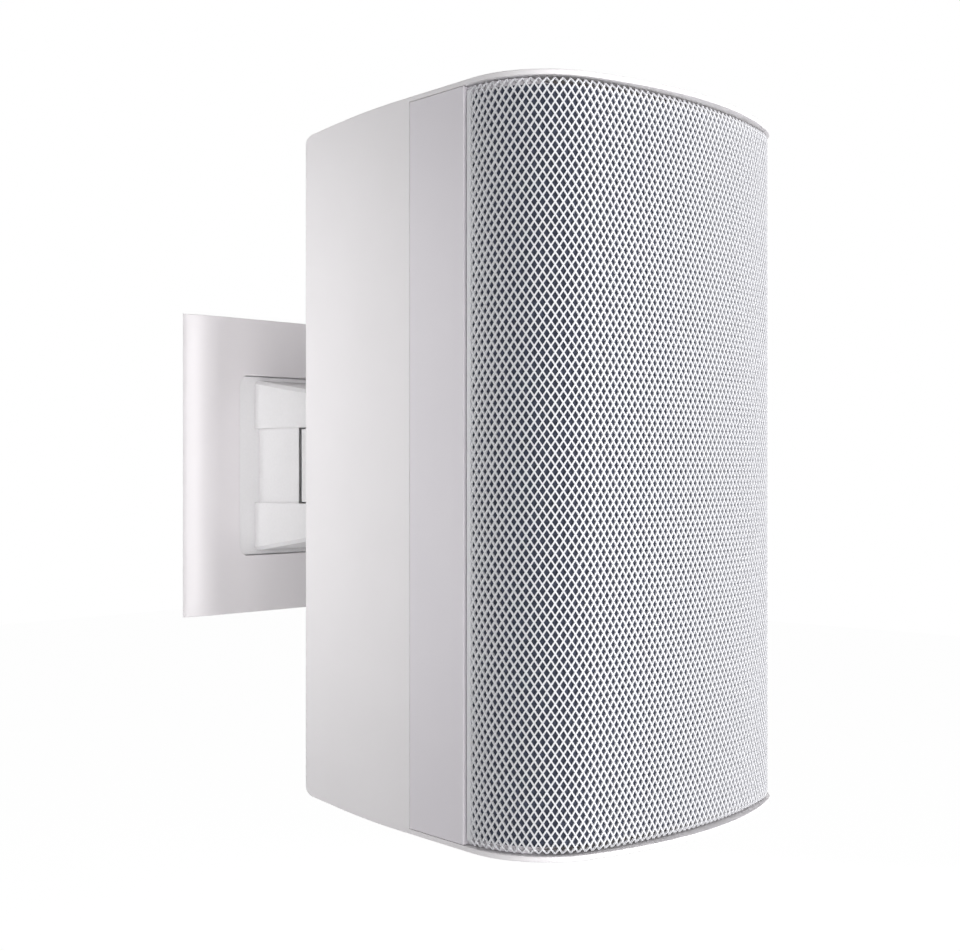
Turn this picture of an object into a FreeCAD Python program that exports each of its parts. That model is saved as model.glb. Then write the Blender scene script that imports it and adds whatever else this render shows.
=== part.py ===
import FreeCAD, Part
import math
import os

os.makedirs("parts", exist_ok=True)

# Sizes in millimetres: x across, y into the wall, z up, wall plane at y = 0

# Cabinet
cabinet_height = 420.0
cabinet_width = 245.4
cabinet_depth = 236.5
wall_to_cabinet = 141.5
bow_radius = 252.0
corner_radius = 51.0
side_taper = 8.0
back_edge_radius = 6.0
back_top_radius = 12.0
back_crease = 0.6
side_wall = 3.5
band_height = 3.0
band_edge_radius = 1.0
fall_start = 168.5
back_fall = 5.0
fall_blend = 30.0
seam_depth = 127.0
seam_gap = 0.6
band_gap = 0.4

# Grille and foam
grille_edge_depth = 78.5
grille_edge_gap = 1.0
grille_side_inset = 1.2
grille_front_inset = 5.0
grille_thickness = 1.2
grille_end_gap = 0.8
grille_border = 4.0
diamond_columns = 9
diamond_rows = 7
strand_width = 4.2
foam_thickness = 3.0
foam_gap = 0.1
foam_end_gap = 4.0
foam_edge_gap = 1.0

# Baffle
baffle_depth = 40.0
baffle_plate = 6.0
baffle_wall = 3.0
strip_wall = 3.2
strip_edge_radius = 0.8
pillar_radius = 7.0
pillar_from_side = 32.0
baffle_step = 4.0

# Fasteners
pilot_gap = 0.05
screw_gap = 0.2
baffle_screw_radius = 2.0
baffle_screw_length = 18.0
woofer_screw_length = 15.0
tweeter_screw_length = 14.0
small_screw_radius = 1.5
board_screw_length = 8.0
panel_screw_length = 9.0
core_screw_bite = 2.0

# Woofer
woofer_side_gap = 3.0
woofer_margin = 7.0
cutout_margin = 10.0
screw_margin = 5.0
rim_width = 14.5
rim_overlap = 4.5
flange_thickness = 4.5
gasket_thickness = 1.5
roll_radius = 6.25
skin = 1.0
cone_drop = 40.0
coil_radius = 19.4
coil_wire = 0.6
coil_former = 0.5
coil_clearance = 0.6
cap_skin = 0.8
magnet_radius = 62.0
magnet_height = 18.0
magnet_bore = 30.0
vent_radius = 5.0
plate_radius = 55.0
plate_height = 7.0
basket_depth = 68.0
basket_skin = 3.0
basket_bore = 38.0
basket_ledge = 14.0
spider_radius = 50.0
spider_seat = 7.0
spider_collar = 4.0
spider_wave = 2.0
spider_skin = 0.35
window_width = 44.0
window_count = 6
woofer_screw_count = 8

# Tweeter and ports
tweeter_radius = 58.0
tweeter_gap = 20.0
tweeter_face = 4.0
throat_radius = 13.6
horn_depth = 18.0
horn_seat = 2.0
horn_boss = 16.0
dome_skin = 0.5
motor_radius = 40.0
motor_height = 30.0
motor_step = 4.0
motor_lip = 5.0
port_radius = 18.0
port_wall = 2.0
port_flare = 26.0
port_length = 95.0
port_lip = 3.0
port_mouth = 6.0
port_curve = 12.0
port_side_gap = 3.4
port_gap = 6.0

# Electrical pieces
board_width = 120.0
board_height = 96.0
board_thickness = 1.6
standoff_height = 10.0
standoff_radius = 4.0
board_centre_z = 122.0
board_hole_margin = 6.0
large_coil_radius = 20.0
large_coil_bore = 8.0
large_coil_height = 24.0
small_coil_radius = 14.0
small_coil_bore = 6.0
small_coil_height = 16.0
large_capacitor_radius = 9.0
small_capacitor_radius = 7.0
capacitor_length = 34.0
resistor_width = 12.0
resistor_length = 28.0
resistor_height = 9.0
core_width = 66.0
core_height = 56.0
core_depth = 24.0
core_leg = 11.0
core_hole_margin = 4.5
winding_gap = 0.3
winding_overhang = 9.0
panel_width = 112.0
panel_height = 72.0
panel_centre_z = -122.0
panel_flange = 2.5
tray_depth = 15.0
tray_margin = 9.0
tray_skin = 2.5
tray_gap = 0.3
tray_corner = 4.0
panel_hole_margin = 4.5
terminal_width = 34.0
terminal_height = 14.0
terminal_depth = 12.0
terminal_from_knob = 15.0
wire_hole_radius = 2.0
wire_pitch = 8.5
switch_radius = 13.0
switch_depth = 13.5
bush_radius = 4.1
bush_gap = 0.1
knob_radius = 11.0
knob_height = 11.0
knob_x = 24.0
knob_shaft_radius = 3.0
knob_shaft_length = 10.0
knob_chamfer = 1.0
pointer_half = 0.8

# Mount
cover_width = 172.6
cover_height = 211.5
cover_thickness = 14.0
cover_face_half = 53.6
cover_bend = 30.0
cover_edge_radius = 4.0
cover_lip = 6.5
cover_wall = 2.2
cover_off_wall = 0.5
cover_draft = 1.25
opening_width = 93.6
opening_height = 128.6
opening_radius = 7.8
rim_radius = 0.8
bracket_side_gap = 8.3
bracket_end_gap = 4.3
bracket_thickness = 3.0
wall_hole_radius = 3.25
wall_hole_x = 64.0
wall_hole_z = 75.0
clip_radius = 4.0
clip_margin = 8.0
fork_bolt_radius = 3.0
fork_bolt_length = 3.8
fork_bolt_margin = 12.0
fork_flange = 6.0
fork_flange_gap = 0.6
fork_half_width = 29.5
fork_base_half = 61.2
fork_fall = 8.7
fork_slot_half = 26.6
fork_edge = 2.5
spot_depth = 5.5
spot_radius = 11.0
web_half_width = 25.5
pan_axis_out = 80.0
knuckle_back_radius = 35.2
web_gap = 2.3
tilt_axis_out = 119.5
tongue_half = 14.0
tongue_radius = 15.0
tongue_fall = 4.0
lug_front = 14.0
ear_thickness = 8.3
ear_radius = 16.0
washer_thickness = 0.8
pan_washer_radius = 20.0
turning_gap = 0.3
shaft_gap = 0.06
pan_bolt_radius = 5.0
pan_head_radius = 8.0
pan_nut_radius = 8.5
tilt_bolt_radius = 4.0
tilt_head_radius = 6.5
tilt_nut_radius = 7.0
bolt_head_height = 5.0
nut_height = 6.0
nut_gap = 0.02
bolt_end = 1.0
speaker_plate = 6.0
speaker_plate_width = 84.0
speaker_plate_height = 140.0
bracket_screw_x = 32.0
bracket_screw_z = 58.0
bracket_screw_radius = 2.9
bracket_boss_radius = 9.0
bracket_boss_end = 3.0
insert_radius = 4.5
insert_length = 12.0
insert_gap = 0.02

# Worked-out places
V = FreeCAD.Vector
half_height = cabinet_height / 2
back_y = -wall_to_cabinet
front_y = back_y - cabinet_depth
taper = math.radians(side_taper)
fall = math.atan(back_fall / (cabinet_depth - fall_start))
corner_x = cabinet_width / 2 - corner_radius
corner_depth = bow_radius - math.sqrt((bow_radius - corner_radius) ** 2 - corner_x ** 2)
inside_back_y = back_y - side_wall
baffle_y = front_y + baffle_depth
baffle_back_y = baffle_y + baffle_plate
baffle_half = half_height - band_height - band_gap
wall_inset = grille_side_inset + grille_thickness + foam_thickness + foam_gap
pillar_x = cabinet_width / 2 - pillar_from_side
pillar_z = half_height - band_height - pillar_radius + 1.0
pan_y = -pan_axis_out
tilt_y = -tilt_axis_out
long_cut = cover_height
parts = {}


def block(x0, x1, y0, y1, z0, z1):
    return Part.makeBox(x1 - x0, y1 - y0, z1 - z0, V(x0, y0, z0))


def rod(radius, start, way):
    return Part.makeCylinder(radius, way.Length, start, way)


def rod_y(radius, x, z, y0, y1):
    return rod(radius, V(x, y0, z), V(0, y1 - y0, 0))


def closed_face(edges):
    return Part.Face(Part.Wire(Part.__sortEdges__(edges)))


def line(a, b):
    return Part.LineSegment(a, b).toShape()


def arc(a, m, b):
    return Part.Arc(a, m, b).toShape()


def polygon(points):
    return Part.Face(Part.makePolygon(points + points[:1]))


def turned(profile, x, y, z):
    points = [V(x + r, y + d, z) for r, d in profile]
    return polygon(points).revolve(V(x, y, z), V(0, 1, 0), 360)


def turned_edges(edges, x, z):
    return closed_face(edges).revolve(V(x, 0, z), V(0, 1, 0), 360)


def ring(outer, inner, y0, y1, x, z):
    return rod_y(outer, x, z, y0, y1).cut(rod_y(inner, x, z, y0 - 1, y1 + 1))


def rounded_block(half_x, half_z, radius, y0, y1, z):
    solid = block(-half_x, half_x, y0, y1, z - half_z, z + half_z)
    upright = [e for e in solid.Edges if abs(e.BoundBox.YLength - (y1 - y0)) < 1e-6]
    return solid.makeFillet(radius, upright)


# Plan outline of the cabinet, moved in by inset at the sides and to depth apex at the front
def bow_of(inset, apex):
    corner = corner_radius - inset
    reach = corner_depth - apex
    return (corner_x ** 2 + reach ** 2 - corner ** 2) / (2.0 * (reach - corner))


def outline_point(x, v):
    return V(x, front_y + v, 0)


def plan_face(inset, apex):
    corner = corner_radius - inset
    bow = bow_of(inset, apex)
    turn = math.asin(corner_x / (bow - corner))
    end = math.pi / 2 + taper
    middle = (turn + end) / 2
    back = max(back_edge_radius - inset, 0.5)
    end_x = corner_x + corner * math.sin(end)
    end_v = corner_depth - corner * math.cos(end)
    reach = end_x * math.cos(taper) + end_v * math.sin(taper)
    back_v = cabinet_depth - inset - back
    back_x = (reach - back - math.sin(taper) * back_v) / math.cos(taper)
    half_turn = (taper + math.pi / 2) / 2
    right = [
        (bow * math.sin(turn), apex + bow - bow * math.cos(turn)),
        (corner_x + corner * math.sin(middle), corner_depth - corner * math.cos(middle)),
        (end_x, end_v),
        (back_x + back * math.cos(taper), back_v + back * math.sin(taper)),
        (back_x + back * math.cos(half_turn), back_v + back * math.sin(half_turn)),
        (back_x, back_v + back),
    ]
    r = [outline_point(x, v) for x, v in right]
    m = [outline_point(-x, v) for x, v in right]
    edges = [
        arc(m[0], outline_point(0, apex), r[0]),
        arc(r[0], r[1], r[2]),
        line(r[2], r[3]),
        arc(r[3], r[4], r[5]),
        line(r[5], m[5]),
        arc(m[5], m[4], m[3]),
        line(m[3], m[2]),
        arc(m[2], m[1], m[0]),
    ]
    return closed_face(edges)


def plan_solid(inset, apex, half, start, stop):
    face = plan_face(inset, apex)
    face.translate(V(0, 0, -half))
    solid = face.extrude(V(0, 0, 2 * half))
    wide = cabinet_width
    return solid.common(block(-wide, wide, front_y + start, front_y + stop, -half, half))


def plan_shell(inset, apex, thickness, half, start, stop):
    inner = plan_solid(inset + thickness, apex + thickness, half + 1, start - 1, stop + 1)
    return plan_solid(inset, apex, half, start, stop).cut(inner)


# Half the outline's width at a depth behind the front
def half_width_at(inset, apex, depth):
    corner = corner_radius - inset
    bow = bow_of(inset, apex)
    turn = math.asin(corner_x / (bow - corner))
    if depth < apex + bow - bow * math.cos(turn):
        return math.sqrt(bow ** 2 - (bow + apex - depth) ** 2)
    return corner_x + math.sqrt(corner ** 2 - (corner_depth - depth) ** 2)


# Side view of the cabinet: level top, then a slight fall to the back
def side_face(inset):
    top = half_height - inset
    half_fall = math.tan(fall / 2)
    blend = fall_blend / half_fall - inset
    bend = fall_start - inset * half_fall
    reach = blend * half_fall
    back = max(back_top_radius - inset, 0.5)
    back_v = cabinet_depth - inset - back + back_crease
    drop = (inset + back + (back_v - fall_start) * math.sin(fall)) / math.cos(fall)
    back_z = half_height - drop
    end = math.asin((back - back_crease) / back)
    middle = (fall + end) / 2
    upper = [
        (-corner_radius, top),
        (bend - reach, top),
        (bend - reach + blend * math.sin(fall / 2), top - blend * (1 - math.cos(fall / 2))),
        (bend + reach * math.cos(fall), top - reach * math.sin(fall)),
        (back_v + back * math.sin(fall), back_z + back * math.cos(fall)),
        (back_v + back * math.sin(middle), back_z + back * math.cos(middle)),
        (back_v + back * math.sin(end), back_z + back * math.cos(end)),
    ]
    u = [V(0, front_y + v, z) for v, z in upper]
    w = [V(0, front_y + v, -z) for v, z in upper]
    edges = [
        line(u[0], u[1]),
        arc(u[1], u[2], u[3]),
        line(u[3], u[4]),
        arc(u[4], u[5], u[6]),
        line(u[6], w[6]),
        arc(w[6], w[5], w[4]),
        line(w[4], w[3]),
        arc(w[3], w[2], w[1]),
        line(w[1], w[0]),
        line(w[0], u[0]),
    ]
    return closed_face(edges)


def side_solid(inset):
    face = side_face(inset)
    face.translate(V(-cabinet_width, 0, 0))
    return face.extrude(V(2 * cabinet_width, 0, 0))


# Rear cabinet: shell with bands that run on to the front, pillars and bosses
outer = plan_solid(0, 0, half_height, -5, cabinet_depth + 5).common(side_solid(0))


def band_edges(solid):
    found = []
    for edge in solid.Edges:
        box = edge.BoundBox
        level = abs(box.ZMax - box.ZMin) < 1e-6
        at_band = abs(abs(box.ZMax) - half_height) < 1e-6
        across = box.YLength < 1e-6
        if level and at_band and not across:
            found.append(edge)
    return found


outer = outer.makeFillet(band_edge_radius, band_edges(outer))
cavity = plan_solid(side_wall, side_wall, half_height, seam_depth - 1, cabinet_depth)
cavity = cavity.common(side_solid(band_height))
front_cut = block(
    -cabinet_width, cabinet_width, front_y - 10, front_y + seam_depth,
    -half_height + band_height, half_height - band_height,
)
shell = outer.cut(cavity).cut(front_cut)

screw_places = [(sx * bracket_screw_x, sz * bracket_screw_z) for sx in (-1, 1) for sz in (-1, 1)]
boss_length = insert_length + bracket_boss_end
bosses = [rod_y(bracket_boss_radius, x, z, back_y - boss_length, back_y - 1) for x, z in screw_places]
pillar_places = [(sx * pillar_x, sz * pillar_z) for sx in (-1, 1) for sz in (-1, 1)]
pillars = [rod_y(pillar_radius, x, z, baffle_back_y, back_y - 1) for x, z in pillar_places]
board_holes = [
    (sx * (board_width / 2 - board_hole_margin), board_centre_z + sz * (board_height / 2 - board_hole_margin))
    for sx in (-1, 1)
    for sz in (-1, 1)
]
standoff_y = inside_back_y - standoff_height
standoffs = [rod_y(standoff_radius, x, z, standoff_y, back_y - 1) for x, z in board_holes]
inside = outer.common(
    block(-cabinet_width, cabinet_width, baffle_back_y, back_y, -half_height, half_height)
)
posts = Part.makeCompound(bosses + pillars + standoffs)
rear_cabinet = shell.multiFuse([p.common(inside) for p in posts.Solids])

insert_cuts = [rod_y(insert_radius, x, z, back_y - insert_length, back_y + 1) for x, z in screw_places]
screw_cuts = [
    rod_y(baffle_screw_radius + pilot_gap, x, z, baffle_back_y - 1, baffle_y + baffle_screw_length + 2)
    for x, z in pillar_places
]
small_pilot = small_screw_radius + pilot_gap
small_hole = small_screw_radius + screw_gap
board_cut_end = standoff_y + board_screw_length
board_cuts = [rod_y(small_pilot, x, z, standoff_y - 1, board_cut_end) for x, z in board_holes]
tray_half_x = panel_width / 2 - tray_margin
tray_half_z = panel_height / 2 - tray_margin
panel_cut = rounded_block(
    tray_half_x + tray_gap, tray_half_z + tray_gap, tray_corner + tray_gap,
    back_y - 2 * side_wall, back_y + 1, panel_centre_z,
)
panel_screw_places = [
    (sx * (panel_width / 2 - panel_hole_margin), panel_centre_z + sz * (panel_height / 2 - panel_hole_margin))
    for sx in (-1, 1)
    for sz in (-1, 1)
]
panel_screw_cuts = [
    rod_y(small_pilot, x, z, back_y - panel_screw_length, back_y + 1) for x, z in panel_screw_places
]
core_screw_places = [
    (sx * (core_width / 2 - core_hole_margin), sz * (core_height / 2 - core_hole_margin))
    for sx in (-1, 1)
    for sz in (-1, 1)
]
core_screw_cuts = [
    rod_y(small_pilot, x, z, inside_back_y - 1, inside_back_y + core_screw_bite + 0.5)
    for x, z in core_screw_places
]
cuts = insert_cuts + screw_cuts + board_cuts + [panel_cut] + panel_screw_cuts + core_screw_cuts
parts["rear_cabinet"] = rear_cabinet.cut(cuts)

# Front baffle: flat plate, side walls behind the grille, and the plain side strips
plate = plan_solid(wall_inset, wall_inset, baffle_half, baffle_depth, baffle_depth + baffle_plate)
step_stop = grille_edge_depth + baffle_step
flank = plan_shell(wall_inset, wall_inset, baffle_wall, baffle_half, baffle_depth, step_stop)
step_inner = plan_solid(wall_inset + baffle_wall, wall_inset + baffle_wall, half_height, 0, cabinet_depth)
step = plan_solid(0, 0, baffle_half, grille_edge_depth, step_stop).cut(step_inner)
strip = plan_shell(0, 0, strip_wall, baffle_half, grille_edge_depth, seam_depth - seam_gap)
baffle = plate.multiFuse([flank, step, strip]).removeSplitter()


def strip_edges(solid):
    found = []
    for edge in solid.Edges:
        box = edge.BoundBox
        upright = abs(box.ZLength - 2 * baffle_half) < 1e-6 and box.XLength < 1e-6
        front = abs(box.YMin - front_y - grille_edge_depth) < 1e-6
        rear = abs(box.YMin - front_y - seam_depth + seam_gap) < 1e-6
        if upright and (front or rear):
            found.append(edge)
    return found


outer_edges = sorted(strip_edges(baffle), key=lambda e: -abs(e.BoundBox.XMin))
baffle = baffle.makeFillet(strip_edge_radius, outer_edges[:4])

# Drivers and ports fill the width between the foam's sides
foam_inset = grille_side_inset + grille_thickness + foam_gap
foam_apex = grille_front_inset + grille_thickness + foam_gap
foam_skin = foam_thickness - foam_gap
foam_back_inset = foam_inset + foam_skin
foam_back_apex = foam_apex + foam_skin
woofer_front_depth = baffle_depth - gasket_thickness - flange_thickness
woofer_radius = half_width_at(foam_back_inset, foam_back_apex, woofer_front_depth) - woofer_side_gap
port_room = half_width_at(foam_back_inset, foam_back_apex, baffle_depth - port_lip) - port_side_gap
port_x = port_room - port_flare
woofer_z = -(baffle_half - woofer_margin - woofer_radius)
tweeter_z = woofer_z + woofer_radius + tweeter_gap + tweeter_radius
port_reach = tweeter_radius + port_gap + port_flare
port_z = tweeter_z + math.sqrt(max(port_reach ** 2 - port_x ** 2, 0.0))
cutout_radius = woofer_radius - cutout_margin
tweeter_cutout = tweeter_radius - cutout_margin - 1.0
woofer_screw_ring = woofer_radius - screw_margin
tweeter_screw_ring = tweeter_radius - screw_margin


def around(count, radius, z, turn):
    angles = [2 * math.pi * (k + turn) / count for k in range(count)]
    return [(radius * math.cos(a), z + radius * math.sin(a)) for a in angles]


woofer_screw_places = around(woofer_screw_count, woofer_screw_ring, woofer_z, 0.5)
tweeter_screw_places = around(4, tweeter_screw_ring, tweeter_z, 0.5)
port_places = [(-port_x, port_z), (port_x, port_z)]
baffle_cuts = [rod_y(cutout_radius, 0, woofer_z, baffle_y - 1, baffle_back_y + 1)]
baffle_cuts.append(rod_y(tweeter_cutout, 0, tweeter_z, baffle_y - 1, baffle_back_y + 1))
port_outer = port_radius + port_wall
screw_hole = baffle_screw_radius + screw_gap
for x, z in port_places:
    baffle_cuts.append(rod_y(port_outer + bush_gap, x, z, baffle_y - 1, baffle_back_y + 1))
for x, z in pillar_places:
    baffle_cuts.append(rod_y(screw_hole, x, z, baffle_y - 1, baffle_back_y + 1))
for x, z in woofer_screw_places + tweeter_screw_places:
    baffle_cuts.append(rod_y(baffle_screw_radius + pilot_gap, x, z, baffle_y - 1, baffle_back_y + 1))
parts["front_baffle"] = baffle.cut(baffle_cuts)


def pan_head_screws(places, radius, seat_y, length, way):
    solids = []
    for x, z in places:
        inset = radius / 4
        shank = rod(radius, V(x, seat_y - way * inset, z), V(0, way * (length + inset), 0))
        head = rod(radius * 1.9, V(x, seat_y, z), V(0, -way * radius * 1.2, 0))
        solids.append(shank.fuse(head).removeSplitter())
    return Part.makeCompound(solids)


parts["baffle_screws"] = pan_head_screws(
    pillar_places, baffle_screw_radius, baffle_y, baffle_screw_length, 1
)

# Grille: bowed sheet with diamond openings and a plain border
grille_half = half_height - band_height - grille_end_gap
grille_stop = grille_edge_depth - grille_edge_gap
sheet = plan_shell(grille_side_inset, grille_front_inset, grille_thickness, grille_half, 0, grille_stop)
mid_inset = grille_side_inset + grille_thickness / 2
mid_apex = grille_front_inset + grille_thickness / 2
mid_corner = corner_radius - mid_inset
mid_bow = bow_of(mid_inset, mid_apex)
bow_turn = math.asin(corner_x / (mid_bow - mid_corner))
bow_length = mid_bow * bow_turn
corner_length = mid_corner * (math.pi / 2 + taper - bow_turn)
side_start = corner_depth + mid_corner * math.sin(taper)
half_length = bow_length + corner_length + (grille_stop - side_start) / math.cos(taper)


def on_grille(s):
    side = 1.0 if s >= 0 else -1.0
    far = abs(s)
    if far <= bow_length:
        a = far / mid_bow
        x = mid_bow * math.sin(a)
        v = mid_apex + mid_bow - mid_bow * math.cos(a)
    else:
        a = min(bow_turn + (far - bow_length) / mid_corner, math.pi / 2 + taper)
        past = max(far - bow_length - corner_length, 0.0)
        x = corner_x + mid_corner * math.sin(a) - past * math.sin(taper)
        v = corner_depth - mid_corner * math.cos(a) + past * math.cos(taper)
    return side * x, v, side * a


pitch_s = 2 * (half_length - grille_border) / diamond_columns
pitch_z = 2 * (grille_half - grille_border) / diamond_rows
edge_reach = pitch_s * pitch_z / 4 / math.hypot(pitch_s / 2, pitch_z / 2)
hole_share = 1.0 - strand_width / 2 / edge_reach
cut_reach = 6 * grille_thickness


def diamond(s, z):
    x, v, a = on_grille(s)
    along = V(math.cos(a), math.sin(a), 0) * (pitch_s / 2 * hole_share)
    out = V(math.sin(a), -math.cos(a), 0)
    up = V(0, 0, pitch_z / 2 * hole_share)
    middle = outline_point(x, v) + V(0, 0, z) - out * cut_reach
    corners = [middle + along, middle + up, middle - along, middle - up]
    return polygon(corners).extrude(out * 2 * cut_reach)


openings = []
for column in range(diamond_columns):
    for row in range(diamond_rows):
        s = (column + 0.5 - diamond_columns / 2) * pitch_s
        z = (row + 0.5 - diamond_rows / 2) * pitch_z
        openings.append(diamond(s, z))
for column in range(diamond_columns - 1):
    for row in range(diamond_rows - 1):
        s = (column + 1 - diamond_columns / 2) * pitch_s
        z = (row + 1 - diamond_rows / 2) * pitch_z
        openings.append(diamond(s, z))
parts["grille"] = sheet.cut(openings)

foam_half = grille_half - foam_end_gap
foam_stop = grille_stop - foam_edge_gap
parts["grille_foam"] = plan_shell(foam_inset, foam_apex, foam_skin, foam_half, 0, foam_stop)

# Woofer, turned about its own axis; d is measured back from the front of the baffle
flange_front = -gasket_thickness - flange_thickness
frame_inner = woofer_radius - rim_width
roll_r = frame_inner - roll_radius
rim_r = roll_r - roll_radius
ledge_d = basket_depth - basket_ledge
wall_r = plate_radius + screw_margin
basket_profile = [
    (woofer_radius, flange_front),
    (woofer_radius, -gasket_thickness),
    (cutout_radius - basket_skin / 2, -gasket_thickness),
    (cutout_radius - basket_skin / 2, basket_skin),
    (wall_r, basket_depth - basket_skin - 1.0),
    (wall_r, basket_depth),
    (basket_bore, basket_depth),
    (basket_bore, basket_depth - basket_skin),
    (spider_radius, basket_depth - basket_skin),
    (spider_radius, ledge_d),
    (wall_r + 2.0, ledge_d),
    (frame_inner, basket_skin),
    (frame_inner, flange_front),
]
basket = turned(basket_profile, 0, baffle_y, woofer_z)
window_cuts = []
for k in range(window_count):
    cut = block(
        -window_width / 2, window_width / 2, baffle_y + 4 * basket_skin, baffle_y + ledge_d - 4,
        wall_r - 4, woofer_radius,
    )
    cut.translate(V(0, 0, woofer_z))
    cut.rotate(V(0, 0, woofer_z), V(0, 1, 0), 360.0 * k / window_count)
    window_cuts.append(cut)
for x, z in woofer_screw_places:
    window_cuts.append(rod_y(screw_hole, x, z, baffle_y - baffle_depth, baffle_y))
parts["woofer_basket"] = basket.cut(window_cuts)

gasket = ring(woofer_radius, cutout_radius + 1, baffle_y - gasket_thickness, baffle_y, 0, woofer_z)
gasket_cuts = [rod_y(screw_hole, x, z, baffle_y - 5, baffle_y + 1) for x, z in woofer_screw_places]
parts["woofer_gasket"] = gasket.cut(gasket_cuts)
parts["woofer_screws"] = pan_head_screws(
    woofer_screw_places, baffle_screw_radius, baffle_y + flange_front, woofer_screw_length, 1
)

neck_r = coil_radius + 0.2
cone_front = flange_front
cone_end = cone_front + cone_drop
slope_r = rim_r - 3.0
parts["woofer_cone"] = turned(
    [
        (rim_r + 0.4, cone_front),
        (rim_r + 0.4, cone_front + 1.2),
        (slope_r + 0.4, cone_front + 1.2),
        (neck_r, cone_end + 1.4),
        (neck_r, cone_end),
        (slope_r, cone_front),
    ],
    0, baffle_y, woofer_z,
)


def at(r, d):
    return V(r, baffle_y + d, woofer_z)


roll_in = roll_radius - skin / 2
roll_out = roll_radius + skin / 2
foot_r = roll_r + math.sqrt(roll_out ** 2 - skin ** 2)
lip_r = frame_inner + rim_overlap
lip_front = cone_front - skin
outer_left = at(roll_r - roll_out, cone_front)
outer_top = at(roll_r, cone_front - roll_out)
inner_left = at(roll_r - roll_in, cone_front)
inner_top = at(roll_r, cone_front - roll_in)
inner_right = at(roll_r + roll_in, cone_front)
surround_edges = [
    arc(outer_left, outer_top, at(foot_r, lip_front)),
    line(at(foot_r, lip_front), at(lip_r, lip_front)),
    line(at(lip_r, lip_front), at(lip_r, cone_front)),
    line(at(lip_r, cone_front), inner_right),
    arc(inner_right, inner_top, inner_left),
    line(inner_left, outer_left),
]
parts["woofer_surround"] = turned_edges(surround_edges, 0, woofer_z)

cap_r = coil_radius * 1.5
cap_ball = cap_r * 1.55
cap_seat = cone_front + cone_drop * (slope_r - cap_r) / (slope_r - neck_r) - 0.1
cap_centre = cap_seat + math.sqrt((cap_ball - cap_skin) ** 2 - cap_r ** 2)


def cap_d(ball, r):
    return cap_centre - math.sqrt(ball ** 2 - r ** 2)


cap_in = cap_ball - cap_skin
cap_front = [at(r, cap_d(cap_ball, r)) for r in (0, cap_r / 2, cap_r)]
cap_rear = [at(r, cap_d(cap_in, r)) for r in (0, cap_r / 2, cap_r)]
cap_edges = [
    arc(cap_front[0], cap_front[1], cap_front[2]),
    line(cap_front[2], cap_rear[2]),
    arc(cap_rear[2], cap_rear[1], cap_rear[0]),
    line(cap_rear[0], cap_front[0]),
]
parts["woofer_dust_cap"] = turned_edges(cap_edges, 0, woofer_z)

coil_front = basket_depth - 2.0
coil_back = coil_front + plate_height * 2
parts["voice_coil"] = turned(
    [
        (coil_radius - coil_former, cone_end - 0.5),
        (coil_radius - coil_former, coil_back),
        (coil_radius + coil_wire, coil_back),
        (coil_radius + coil_wire, coil_front),
        (coil_radius, coil_front),
        (coil_radius, cone_end - 0.5),
    ],
    0, baffle_y, woofer_z,
)

spider_d = ledge_d - spider_skin - 0.05
waves = 4
spider_in = coil_radius + spider_collar
spider_line = [(coil_radius + 0.1, spider_d), (spider_in, spider_d)]
spider_span = spider_radius - spider_in
for k in range(waves * 2 - 1):
    share = (k + 1) / (waves * 2)
    swing = spider_wave if k % 2 else -spider_wave
    spider_line.append((spider_in + spider_span * share, spider_d + swing))
spider_line = spider_line + [(spider_radius, spider_d), (spider_radius + spider_seat, spider_d)]
spider_profile = [(r, d - spider_skin) for r, d in spider_line]
spider_profile = spider_profile + [(r, d + spider_skin) for r, d in reversed(spider_line)]
parts["woofer_spider"] = turned(spider_profile, 0, baffle_y, woofer_z)

top_plate_d = basket_depth
magnet_d = top_plate_d + plate_height
back_plate_d = magnet_d + magnet_height
pole_r = coil_radius - coil_former - coil_clearance
parts["woofer_top_plate"] = ring(
    plate_radius, coil_radius + coil_wire + coil_clearance,
    baffle_y + top_plate_d, baffle_y + magnet_d, 0, woofer_z,
)
parts["woofer_magnet"] = ring(
    magnet_radius, magnet_bore, baffle_y + magnet_d, baffle_y + back_plate_d, 0, woofer_z
)
parts["woofer_back_plate"] = turned(
    [
        (vent_radius, top_plate_d),
        (pole_r, top_plate_d),
        (pole_r, back_plate_d),
        (plate_radius, back_plate_d),
        (plate_radius, back_plate_d + plate_height),
        (vent_radius, back_plate_d + plate_height),
    ],
    0, baffle_y, woofer_z,
)


# Tweeter: flared waveguide, dome and motor
def tat(r, d):
    return V(r, baffle_y + d, tweeter_z)


mouth_r = tweeter_radius - 8.0
clamp_r = throat_radius + 3.6
boss_r = throat_radius + horn_boss
seat_d = horn_depth + horn_seat
motor_d = seat_d + dome_skin + 0.2
body_r = tweeter_cutout - 1.0
horn_middle = ((mouth_r + throat_radius * 2.6) / 3.6, horn_depth * 0.3)
horn_points = [
    (throat_radius, horn_depth),
    (throat_radius, seat_d),
    (clamp_r, seat_d),
    (clamp_r, motor_d),
    (boss_r, motor_d),
    (boss_r, horn_depth - 3.0),
    (body_r, 5.0),
    (body_r, 0.0),
    (tweeter_radius, 0.0),
    (tweeter_radius, -tweeter_face),
    (mouth_r, -tweeter_face),
]
horn_edges = [line(tat(*a), tat(*b)) for a, b in zip(horn_points, horn_points[1:])]
horn_edges.append(arc(tat(*horn_points[-1]), tat(*horn_middle), tat(*horn_points[0])))
tweeter_cuts = [rod_y(screw_hole, x, z, baffle_y - 9, baffle_y + 1) for x, z in tweeter_screw_places]
parts["tweeter_waveguide"] = turned_edges(horn_edges, 0, tweeter_z).cut(tweeter_cuts)
dome_r = throat_radius - 0.8
dome_rise = dome_r * 0.42
dome_ball = (dome_r ** 2 + dome_rise ** 2) / (2 * dome_rise)
dome_base = seat_d + 0.1
dome_centre = dome_base - dome_rise + dome_ball
rim_d = dome_base + dome_skin


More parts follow.
